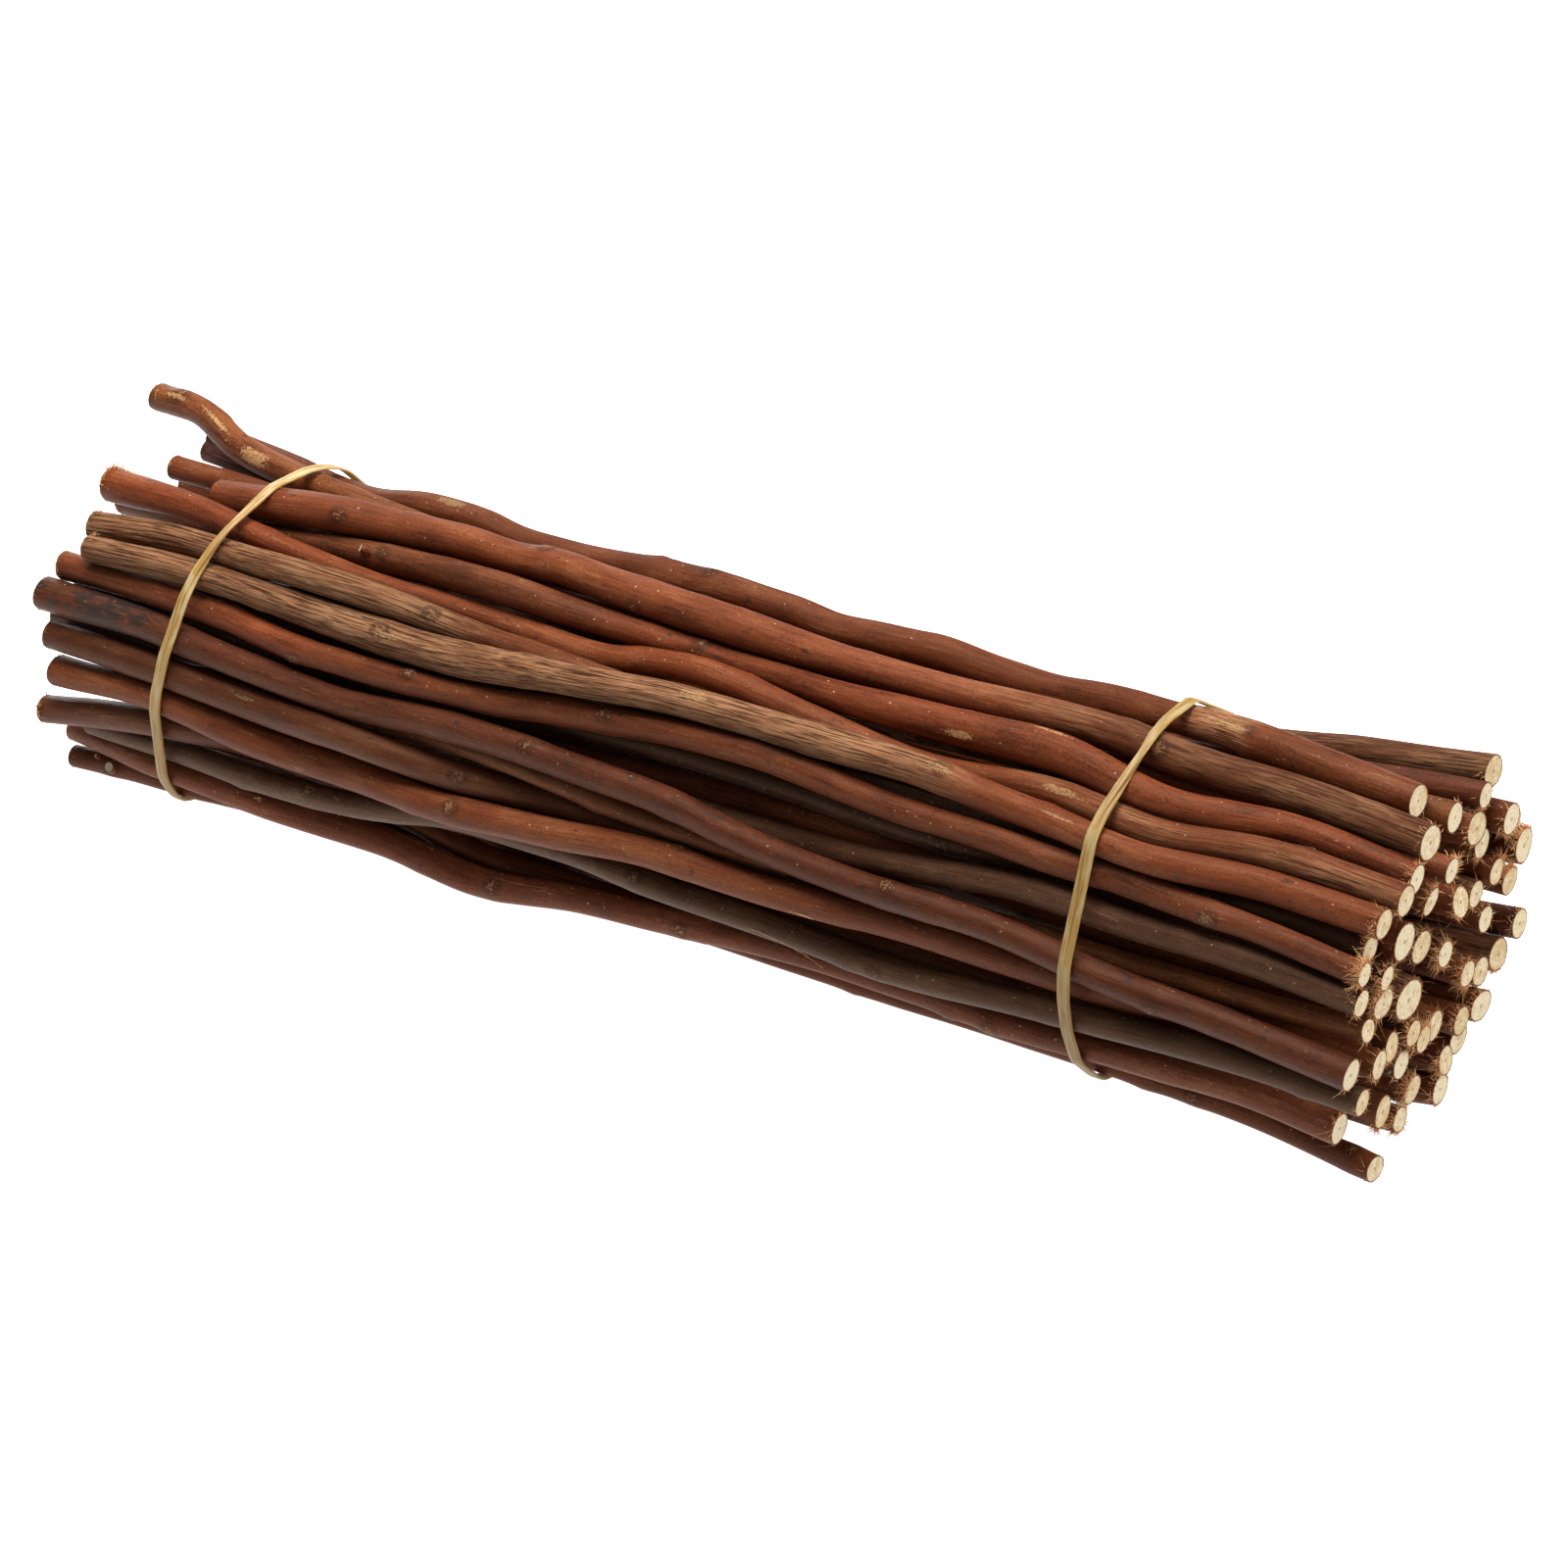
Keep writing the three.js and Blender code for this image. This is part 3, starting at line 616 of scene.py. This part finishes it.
class Twig:
    """Route, thickness and marks of one twig, read from its solid in the frame."""

    def __init__(self, number):
        name = f"twig_{number:02d}"
        points = mesh_points(frame["nodes"][name])
        places = np.unique(points[:, 0].round(5))
        self.x = places[np.insert(np.diff(places) > 1e-4, 0, True)]
        rings = [np.unique(points[abs(points[:, 0] - x) < 5e-5].round(6), axis=0)
                 for x in self.x]
        self.centres = np.array([ring.mean(0) for ring in rings])
        self.radii = np.array([np.linalg.norm(ring - ring.mean(0), axis=1).max()
                               for ring in rings])
        self.name = name
        self.number = number
        self.kind = SLOT_OF_NODE[name].removeprefix("bark_")
        self.rng = np.random.default_rng(TWIG_SEED + self.number)
        self.tone = self.rng.uniform(0, 1)
        self.phase = self.rng.uniform(0, 2 * math.pi, 6)
        self.saw_tilt = abs(self.rng.normal(0.04, 0.07, 2))
        self.saw_turn = self.rng.normal(-0.4, 0.6, 2)
        self.knots = self.find_knots()
        self.scrapes = SCRAPES.get(number, [])
        self.grid = np.linspace(self.x[0], self.x[-1], 300)
        self.line = self.centre(self.grid)
        self.girth = self.thickness(self.grid)

    def find_knots(self):
        """Bud scars: the ones seen, and others on the sides that are not seen."""
        knots = list(KNOTS.get(self.number, []))
        place = self.x[0] * 1000 + self.rng.uniform(15, 60)
        while place < self.x[-1] * 1000 - 10:
            turn = self.rng.uniform(95, 265)
            if self.number not in SHOWN_TWIGS:
                turn = self.rng.uniform(0, 360)
            knots.append((place, turn, self.rng.uniform(0.5, 0.9)))
            place += self.rng.uniform(45, 85)
        return knots

    def centre(self, x):
        """Centre line at the places x."""
        slope = np.gradient(self.centres, self.x, axis=0)
        i = np.clip(np.searchsorted(self.x, x) - 1, 0, len(self.x) - 2)
        span = (self.x[i + 1] - self.x[i])[:, None]
        t = (x - self.x[i])[:, None] / span
        bend = np.zeros_like(x)
        for place, rise, width in BENDS.get(self.number, []):
            bend += rise / 1000 * np.exp(-((x * 1000 - place) / width) ** 2)
        return bend[:, None] * RISE + ((2 * t ** 3 - 3 * t ** 2 + 1) * self.centres[i]
                + (t ** 3 - 2 * t ** 2 + t) * span * slope[i]
                + (3 * t ** 2 - 2 * t ** 3) * self.centres[i + 1]
                + (t ** 3 - t ** 2) * span * slope[i + 1])

    def axes(self, x):
        """Unit vectors along the twig, to the far side and upwards."""
        small = 1e-4
        along = (self.centre(x + small) - self.centre(x - small)) / (2 * small)
        near_end = np.minimum(x - self.x[0], self.x[-1] - x)
        along[:, 0] += 2 * np.clip(1 - near_end / END_TURN, 0, 1)
        along = unit(along)
        far = unit(np.cross((0.0, 0.0, 1.0), along))
        return along, far, np.cross(along, far)

    def spot(self, x, angle):
        """Centre, way along and way out at one place and angle."""
        along, far, up = (axis[0] for axis in self.axes(x))
        return self.centre(x)[0], along, math.cos(angle) * far + math.sin(angle) * up

    def thickness(self, x):
        """Plain radius at the places x."""
        if self.number in GIRTHS:
            return along_list(GIRTHS[self.number], x, 1) / 1000
        return np.interp(x, self.x, self.radii)

    def mark(self, x, angle, place, turn, length, width):
        """A soft spot on the bark: 1 in the middle, 0 outside."""
        u = (x - place / 1000) / (length / 2000)
        v = angle_between(angle, facing(turn)) * self.thickness(x)
        return np.exp(-(u ** 2 + (v / (width / 2000)) ** 2))

    def fissure(self, x):
        """How fissured the bark is along the twig."""
        plain = [(0, 0.9 if self.kind == "tan" else 0.0)]
        return along_list(FISSURES.get(self.number, plain), x, 1)

    def tint(self, x):
        """Brightness and warmth of the bark as a colour."""
        rows = TINTS_AND_PAINTED_LIGHT.get(self.number, [(0, 0.85 + 0.3 * self.tone, 0.0)])
        warmth = along_list(rows, x, 2)
        shades = np.stack([1 + 0.15 * warmth, 1 - 0.02 * warmth, 1 - 0.12 * warmth], axis=1)
        return shades * along_list(rows, x, 1)[:, None]

    def gap(self, points, twigs):
        """Distance from points on this twig to the nearest other twig."""
        nearest = np.full(len(points), NEAR)
        for other in twigs:
            if other is self:
                continue
            away = np.hypot(*(points[:, i] - np.interp(points[:, 0], other.grid, other.line[:, i])
                              for i in (1, 2)))
            away = away - np.interp(points[:, 0], other.grid, other.girth)
            beyond = np.maximum(other.x[0] - points[:, 0], points[:, 0] - other.x[-1])
            nearest = np.minimum(nearest, np.maximum(away, beyond))
        return np.maximum(nearest, 0.0)

    def surface(self, x, angle, settings):
        """Radius of the bark with bumps, scars and ridges."""
        radius = self.thickness(x)
        rng = np.random.default_rng(self.number)
        full = SHOWN_FULLNESS if self.number in SHOWN_TWIGS else HIDDEN_FULLNESS
        radius = radius * (full + BUMP * waves(rng, x, BUMP_LENGTHS))
        for lobes, share, twist, phase in ((2, 0.02, 9, self.phase[0]),
                                           (3, 0.014, -14, self.phase[1])):
            radius += radius * share * np.cos(lobes * angle + phase + twist * x)
        for place, turn, size in self.knots:
            collar = np.exp(-((x - place / 1000) / COLLAR_LENGTH) ** 2)
            radius += size * COLLAR_RISE * collar
            radius += size * SCAR_RISE * self.mark(x, angle, place, turn, *SCAR_SIZE)
            radius -= size * SCAR_DIP * self.mark(x, angle, place + DIP_SHIFT, turn, *DIP_SIZE)
        for place, turn, length, width in self.scrapes:
            radius -= SCRAPE_DIP * self.mark(x, angle, place, turn, length, width)
        ridges = np.zeros_like(x)
        for count in RIDGE_COUNTS:
            drift = 3.4 * waves(rng, x, RIDGE_LENGTHS)
            ridges += np.sin(count * angle + drift + rng.uniform(0, 6.3))
        return radius + settings.ridge * self.fissure(x) * ridges / len(RIDGE_COUNTS)


def clear_selection(kind):
    """Deselect the whole mesh and turn to selecting edges or faces."""
    bpy.ops.object.mode_set(mode="EDIT")
    bpy.ops.mesh.select_mode(type=kind)
    bpy.ops.mesh.select_all(action="DESELECT")
    bpy.ops.object.mode_set(mode="OBJECT")


def straight_rod(name, sides, rings):
    """A straight rod of radius 1 and length 1 with rings along it and stepped ends."""
    bpy.ops.object.select_all(action="DESELECT")
    bpy.ops.mesh.primitive_cylinder_add(vertices=sides, radius=1.0, depth=1.0)
    rod = bpy.context.object
    rod.name = name
    for cuts in (9, rings // 10 - 1):
        clear_selection("EDGE")
        for edge in rod.data.edges:
            ends = [rod.data.vertices[i].co.z for i in edge.vertices]
            edge.select = abs(ends[0] - ends[1]) > 1e-4
        bpy.ops.object.mode_set(mode="EDIT")
        bpy.ops.mesh.subdivide(number_cuts=cuts)
        bpy.ops.object.mode_set(mode="OBJECT")
    clear_selection("FACE")
    for face in rod.data.polygons:
        face.select = abs(face.normal.z) > 0.9
    bpy.ops.object.mode_set(mode="EDIT")
    for depth in END_INSETS:
        bpy.ops.mesh.inset(thickness=depth, use_even_offset=True)
    bpy.ops.mesh.poke()
    bpy.ops.mesh.select_all(action="DESELECT")
    bpy.ops.object.mode_set(mode="OBJECT")
    bpy.ops.object.shade_smooth_by_angle(angle=SHARP_ANGLE)
    rod.data.materials.append(None)
    rod.data.materials.append(None)
    for face in rod.data.polygons:
        face.material_index = int(abs(face.center.z) > 0.4999)
    return rod


def copy_piece(source, name):
    """A copy with its own mesh."""
    piece = source.copy()
    piece.data = source.data.copy()
    piece.name = name
    piece.data.name = name
    bpy.context.collection.objects.link(piece)
    return piece


def bend_rod(piece, twig, twigs, settings):
    """Carry a straight rod onto the route of a twig."""
    points = mesh_points(piece)
    share = np.clip(points[:, 2] + 0.5, 0, 1)
    angle = np.arctan2(points[:, 1], points[:, 0])
    rho = np.minimum(np.hypot(points[:, 0], points[:, 1]), 1.0)
    x = twig.x[0] + share * (twig.x[-1] - twig.x[0])
    along, far, up = twig.axes(x)
    reach = rho * twig.surface(x, angle, settings)
    place = twig.centre(x)
    rng = np.random.default_rng(CROOK_SEED + twig.number)
    for axis, lengths in CROOK_LENGTHS.items():
        place[:, axis] += settings.crook * waves(rng, x, lengths)
    place += (np.cos(angle) * reach)[:, None] * far + (np.sin(angle) * reach)[:, None] * up
    for end in (0, 1):
        near = np.clip(1 - abs(x - twig.x[-end]) / SAW_REACH, 0, 1)
        lean = twig.saw_tilt[end] * reach * np.cos(angle - twig.saw_turn[end])
        place += (near * lean)[:, None] * along
    set_points(piece, place)
    plain = rho * twig.thickness(x) * 1000
    offset = 1000.0 * twig.number
    store(piece, "grain", np.stack(
        [x * 1000 + offset, plain * np.cos(angle), plain * np.sin(angle)], axis=1))
    knot = np.zeros_like(x)
    for spot, turn, size in twig.knots:
        knot = np.maximum(knot, size * twig.mark(x, angle, spot, turn, *STAIN_SIZE))
    scrape = np.zeros_like(x)
    for spot, turn, length, width in twig.scrapes:
        scrape = np.maximum(scrape, twig.mark(x, angle, spot, turn, length, width))
    store(piece, "knot", knot)
    store(piece, "scrape", scrape)
    store(piece, "fissure", twig.fissure(x))
    store(piece, "tone", np.full_like(x, twig.tone))
    store(piece, "blotch", along_list(BLOTCHES.get(twig.number, [(0, 0.0)]), x, 1))
    store(piece, "rim", rho)
    # Painted shade: the bark is darker near another twig, standing in for the shadow between
    # twigs.
    shadow = 1 - settings.painted_shade * np.exp(-twig.gap(place, twigs) / settings.painted_shade_reach)
    store(piece, "tint", twig.tint(x) * shadow[:, None])


class FibreField:
    """Gathers tapered curved fibres into one mesh."""

    def __init__(self):
        self.points = []
        self.faces = []
        self.tones = []

    def add(self, root, direction, curl, length, width, tone, steps=4):
        """One fibre: three sides, from the root to a tip, curling sideways."""
        t = np.linspace(0, 1, steps)[:, None]
        line = root + direction * length * t + curl * length * t ** 2
        side = np.cross(direction, curl + 1e-6)
        side /= np.linalg.norm(side) + 1e-9
        lift = np.cross(side, direction)
        taper = width * 0.5 * (1 - 0.85 * t)
        for spin in range(3):
            turn = 2 * math.pi * spin / 3
            self.points.append(line + taper * (math.cos(turn) * side + math.sin(turn) * lift))
        base = len(self.tones)
        for spin in range(3):
            a = base + spin * steps
            b = base + (spin + 1) % 3 * steps
            for i in range(steps - 1):
                self.faces.append((a + i, b + i, b + i + 1))
                self.faces.append((a + i, b + i + 1, a + i + 1))
        last = base + steps - 1
        self.faces.append((base, base + 2 * steps, base + steps))
        self.faces.append((last, last + steps, last + 2 * steps))
        self.tones += [tone] * (3 * steps)

    def build(self, name, material):
        """One piece from all the fibres."""
        mesh = bpy.data.meshes.new(name)
        mesh.from_pydata(np.concatenate(self.points).tolist(), [], self.faces)
        mesh.materials.append(material)
        piece = bpy.data.objects.new(name, mesh)
        bpy.context.collection.objects.link(piece)
        store(piece, "tone", self.tones)
        return piece


class TWIGS_OT_lay_twigs(bpy.types.Operator):
    """Model the twigs and lay them along their routes"""
    bl_idname = "twigs.lay_twigs"
    bl_label = "Lay Twigs"

    def execute(self, context):
        settings = context.scene.twig_settings
        colours = context.scene.bark_colours
        barks = {}
        for kind in BARK_SHADES:
            smooth = "red" if kind == "tan" else kind
            shades = [getattr(colours, f"{smooth}_{part}") for part in PARTS]
            patch = BLACK_PATCH if kind in ("purple", "grey") else BROWN_PATCH
            barks[kind] = bark_material(f"{kind}_bark", *shades, patch, colours)
        wood = wood_material("cut_wood", colours)
        plain = straight_rod("rod_plain", settings.sides, PLAIN_RINGS)
        fissured = straight_rod("rod_fissured", settings.fissured_sides, FISSURED_RINGS)
        covered = straight_rod("rod_covered", settings.inner_sides, COVERED_RINGS)
        twigs = [Twig(number) for number in TWIGS]
        for twig in twigs:
            name = twig.name
            rod = plain
            if twig.kind == "tan" or twig.number in FISSURES:
                rod = fissured
            if twig.number in INNER_TWIGS:
                rod = covered
            piece = copy_piece(rod, f"{name}_wood")
            bend_rod(piece, twig, twigs, settings)
            piece.data.materials[0] = barks[twig.kind]
            piece.data.materials[1] = wood
            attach(piece, "root")
            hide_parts(name)
        for rod in (plain, fissured, covered):
            bpy.data.objects.remove(rod)
        return {"FINISHED"}


class TWIGS_OT_grow_stubs(bpy.types.Operator):
    """Set the stubs of side shoots on their twigs"""
    bl_idname = "twigs.grow_stubs"
    bl_label = "Grow Stubs"

    def execute(self, context):
        rod = straight_rod("rod_stub", STUB_SIDES, STUB_RINGS)
        rod.data.materials[0] = bpy.data.materials["amber_bark"]
        rod.data.materials[1] = bpy.data.materials["cut_wood"]
        for number, rows in STUBS.items():
            twig = Twig(number)
            for count, row in enumerate(rows, 1):
                piece = copy_piece(rod, f"{twig.name}_stub_{count}")
                self.place(piece, twig, *row)
                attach(piece, "root")
        bpy.data.objects.remove(rod)
        return {"FINISHED"}

    def place(self, piece, twig, place, turn, radius, length, lean):
        """Carry a rod onto the side of a twig, wider at its foot."""
        points = mesh_points(piece)
        x = np.array([place / 1000])
        centre, along, out = twig.spot(x, facing(turn))
        way = out + lean * along
        way /= np.linalg.norm(way)
        side = np.cross(along, way)
        side /= np.linalg.norm(side)
        share = points[:, 2] + 0.5
        flare = radius / 1000 * (1.5 - 0.5 * share)
        sunk = 0.001
        foot = centre + out * (twig.thickness(x)[0] - sunk)
        set_points(piece, foot + (share * (length / 1000 + sunk))[:, None] * way
                   + (points[:, 0] * flare)[:, None] * side
                   + (points[:, 1] * flare)[:, None] * np.cross(way, side))
        store(piece, "grain", points * radius + place)
        store(piece, "tint", np.full_like(points, 1.0))
        store(piece, "rim", np.minimum(np.hypot(points[:, 0], points[:, 1]), 1.0))


class TWIGS_OT_fray_ends(bpy.types.Operator):
    """Grow torn fibres round the sawn ends"""
    bl_idname = "twigs.fray_ends"
    bl_label = "Fray Ends"

    def execute(self, context):
        colours = context.scene.bark_colours
        settings = context.scene.twig_settings
        material = fibre_material("torn_fibre", colours.fibre, colours.fibre_light)
        for end, name in ((-1, "fibres_right"), (0, "fibres_left")):
            field = FibreField()
            for number in TWIGS:
                self.fray(field, Twig(number), end, settings)
            piece = field.build(name, material)
            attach(piece, "root")
        field = FibreField()
        for number, place, turn, length, width, ahead, away in LOOSE_FIBRES:
            twig = Twig(number)
            x, angle = np.array([place / 1000]), facing(turn)
            centre, along, out = twig.spot(x, angle)
            radius = twig.surface(x, np.array([angle]), settings)[0]
            curl = np.random.default_rng(LOOSE_SEED + place).normal(0, 0.12, 3)
            field.add(centre + out * radius, ahead * along + away * out, curl, length / 1000,
                      width / 1000, 0.9, 10)
        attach(field.build("fibres_loose", material), "root")
        return {"FINISHED"}

    def fray(self, field, twig, end, settings):
        """Fibres round one end of a twig: end 0 is the left one, end -1 the right one."""
        sign = -1 if end == 0 else 1
        rng = np.random.default_rng(FRAY_SEED + twig.number + 100 * (end + 1))
        amount = FRAYS.get(twig.number, USUAL_FRAY)
        if end == 0:
            amount = 1.0 if twig.number == FRAYED_LEFT else rng.uniform(0, 0.25)
        middle = rng.uniform(0, 2 * math.pi)
        spread = rng.uniform(0.5, 1.8)
        x = twig.x[[end]]
        along, far, up = (axis[0] for axis in twig.axes(x))
        centre = twig.centre(x)[0]
        for _ in range(int(FEWEST_FIBRES + MORE_FIBRES * amount)):
            angle = middle + rng.normal(0, spread)
            out = math.cos(angle) * far + math.sin(angle) * up
            radius = twig.surface(x, np.array([angle]), settings)[0]
            lean = twig.saw_tilt[end] * math.cos(angle - twig.saw_turn[end])
            root = centre + out * radius * rng.uniform(0.9, 1.0)
            root = root + along * (lean * radius - sign * rng.exponential(0.0005))
            way = (out * rng.uniform(0.3, 1.0) + sign * along * rng.uniform(-0.6, 0.7)
                   + rng.normal(0, 0.3, 3))
            way /= np.linalg.norm(way)
            curl = rng.normal(0, 0.45, 3) - sign * along * 0.3
            length = rng.uniform(*FIBRE_LENGTHS) * (0.7 + 0.7 * amount)
            width = rng.uniform(*FIBRE_WIDTHS)
            if rng.uniform() < LONG_SHARE:
                length, width = 2.4 * length, 0.6 * width
            # Close to the floor a fibre points upwards.
            way[2] = max(way[2], 0.2 - root[2] / 0.01)
            field.add(root, way, curl, length, width, rng.uniform(0, 1) ** 1.2)


class TWIGS_OT_stretch_bands(bpy.types.Operator):
    """Stretch a rubber band twice round each end of the bundle"""
    bl_idname = "twigs.stretch_bands"
    bl_label = "Stretch Bands"

    def execute(self, context):
        settings = context.scene.band_settings
        for node, crossing, tint in (("rubber_band_left", 128.0, settings.left_tint),
                                     ("rubber_band_right", 114.0, settings.right_tint)):
            bpy.ops.object.select_all(action="DESELECT")
            bpy.ops.mesh.primitive_torus_add(
                major_segments=BAND_SEGMENTS, minor_segments=STRAND_SEGMENTS,
                major_radius=1.0, minor_radius=0.25)
            piece = context.object
            piece.name = f"{node}_strands"
            bpy.ops.object.shade_smooth()
            piece.data.materials.append(rubber_material(node, settings.rubber, tint))
            self.wind(piece, node, math.radians(crossing), settings)
            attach(piece, "root")
            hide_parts(node)
        return {"FINISHED"}

    def outline(self, node):
        """Corners of the band's outer outline, each in the middle of the band's width."""
        points = mesh_points(frame["nodes"][node])
        order = geometry.convex_hull_2d([Vector(point[1:]) for point in points])
        hull = points[order]
        for row in hull:
            same = np.linalg.norm(points[:, 1:] - row[1:], axis=1) < 2e-5
            row[0] = points[same, 0].mean()
        return hull

    def wind(self, piece, node, crossing, settings):
        """Carry a ring onto two turns round the bundle that cross once."""
        hull = self.outline(node)
        middle = hull.mean(0)
        bearing = np.arctan2(hull[:, 2] - middle[2], hull[:, 1] - middle[1])
        order = np.argsort(bearing)
        hull, bearing = hull[order], bearing[order]
        dense = np.linspace(-math.pi, math.pi, RING_STEPS + 1)[:-1]
        ring = on_ring(hull, bearing, dense)
        for _ in range(SMOOTHINGS):
            ring = (np.roll(ring, 1, axis=0) + 2 * ring + np.roll(ring, -1, axis=0)) / 4
        points = mesh_points(piece)
        turn = np.arctan2(points[:, 1], points[:, 0]) * 2
        around = np.arctan2(points[:, 2], np.hypot(points[:, 0], points[:, 1]) - 1.0)
        where = angle_between(turn + crossing + math.pi, 0.0)
        line = on_ring(ring, dense, where)
        ahead = unit(on_ring(ring, dense, where + 0.01) - line)
        out = unit(np.cross((1.0, 0.0, 0.0), -ahead))
        across = np.cross(out, ahead)
        half = turn / 2
        side = np.tanh(CROSSING_RATE * np.cos(half)) * settings.spread
        close = np.exp(-(np.cos(half) / CROSSING_WIDTH) ** 2)
        lift = 0.5 * settings.thickness * close * (1 + np.sin(half))
        wide, tall = (size / 2 * np.sign(share) * abs(share) ** 0.7
                      for size, share in ((settings.width, np.cos(around)),
                                          (settings.thickness, np.sin(around))))
        offset = side + wide
        rise = lift + tall - settings.thickness * PRESSED
        set_points(piece, line + across * offset[:, None] + out * rise[:, None])
        # The grain starts and ends under the bundle, where its seam is not seen.
        length = np.mod(where + math.pi / 2, 2 * math.pi) * GRAIN_RATE
        store(piece, "grain", np.stack([length, offset * 1000, tall * 1000], axis=1))


class TWIGS_OT_set_stage(bpy.types.Operator):
    """Lay a pale floor, set soft light and place the camera"""
    bl_idname = "twigs.set_stage"
    bl_label = "Set Stage"

    def execute(self, context):
        settings = context.scene.stage_settings
        bpy.ops.object.select_all(action="DESELECT")
        bpy.ops.mesh.primitive_plane_add(size=FLOOR_SIZE, location=(0, 0, 0))
        floor = context.object
        floor.name = "floor"
        floor.data.materials.append(Graph("floor").finish(
            Base_Color=settings.floor, Roughness=0.9, Emission_Color=WHITE,
            Emission_Strength=FLOOR_GLOW))
        floor.visible_diffuse = False
        lights = {
            "key_light": ((-0.05, -0.05, 1.4), 0.9, settings.key_power),
            "right_light": ((1.4, 0.1, 0.22), 0.6, settings.end_power),
            "left_light": ((-1.2, 0.8, 0.3), 0.6, settings.end_power * 0.6),
        }
        for name, (place, size, power) in lights.items():
            bpy.ops.object.light_add(type="AREA", location=place)
            light = context.object
            light.name = name
            light.data.shape = "DISK"
            light.data.size = size
            light.data.energy = power
            light.rotation_euler = (-light.location).to_track_quat("-Z", "Y").to_euler()
        context.scene.world = self.studio(settings)
        context.scene.view_settings.view_transform = "Standard"
        a, e = settings.azimuth, settings.elevation
        back = Vector((math.sin(a) * math.cos(e), -math.cos(a) * math.cos(e), math.sin(e)))
        bpy.ops.object.camera_add(location=Vector(settings.aim) + back * settings.distance)
        camera = context.object
        camera.rotation_euler = back.to_track_quat("Z", "Y").to_euler()
        camera.data.lens = settings.lens
        camera.data.sensor_width = SENSOR_WIDTH
        context.scene.camera = camera
        return {"FINISHED"}

    def studio(self, settings):
        """A white backdrop that gives more light from above and below than from the sides."""
        graph = Graph("studio", "worlds")
        way = graph.node("ShaderNodeTexCoord")
        height = abs(graph.node("ShaderNodeSeparateXYZ", {0: way}, output=2))
        light = graph.step(height, 0.05, 0.6, settings.sky * settings.horizon, settings.sky)
        seen = graph.node("ShaderNodeLightPath")
        sky = graph.node("ShaderNodeBackground", {
            "Color": WHITE, "Strength": seen.math("MAXIMUM", seen, light)})
        return graph.show(sky, "ShaderNodeOutputWorld")


class TWIGS_PT_bundle(bpy.types.Panel):
    """Builds the bundle step by step"""
    bl_idname = "TWIGS_PT_bundle"
    bl_label = "Twig Bundle"
    bl_space_type = "VIEW_3D"
    bl_region_type = "UI"
    bl_category = "Twigs"

    def draw(self, context):
        column = self.layout.column()
        for operator in OPERATORS:
            column.operator(operator.bl_idname)


OPERATORS = (TWIGS_OT_lay_twigs, TWIGS_OT_grow_stubs, TWIGS_OT_fray_ends,
             TWIGS_OT_stretch_bands, TWIGS_OT_set_stage)
SETTINGS = {"twig_settings": TwigSettings, "bark_colours": BarkColours,
            "band_settings": BandSettings, "stage_settings": StageSettings}
CLASSES = (*SETTINGS.values(), *OPERATORS, TWIGS_PT_bundle)


def register():
    for cls in CLASSES:
        bpy.utils.register_class(cls)
    for name, group in SETTINGS.items():
        setattr(bpy.types.Scene, name, PointerProperty(type=group))


def unregister():
    for name in SETTINGS:
        delattr(bpy.types.Scene, name)
    for cls in reversed(CLASSES):
        bpy.utils.unregister_class(cls)


def visual_box():
    """Box round the pieces, without the frame's own nodes and the floor."""
    corners = []
    for piece in bpy.context.scene.objects:
        if piece.type == "MESH" and piece.name not in frame["nodes"] and piece.name != "floor":
            points = mesh_points(piece)
            corners += [points.min(0), points.max(0)]
    return [np.min(corners, axis=0).tolist(), np.max(corners, axis=0).tolist()]


def main():
    register()
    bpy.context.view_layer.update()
    bpy.ops.twigs.lay_twigs()
    bpy.ops.twigs.grow_stubs()
    bpy.ops.twigs.fray_ends()
    bpy.ops.twigs.stretch_bands()
    bpy.ops.twigs.set_stage()
    visual_box()


if __name__ == "__main__":
    main()
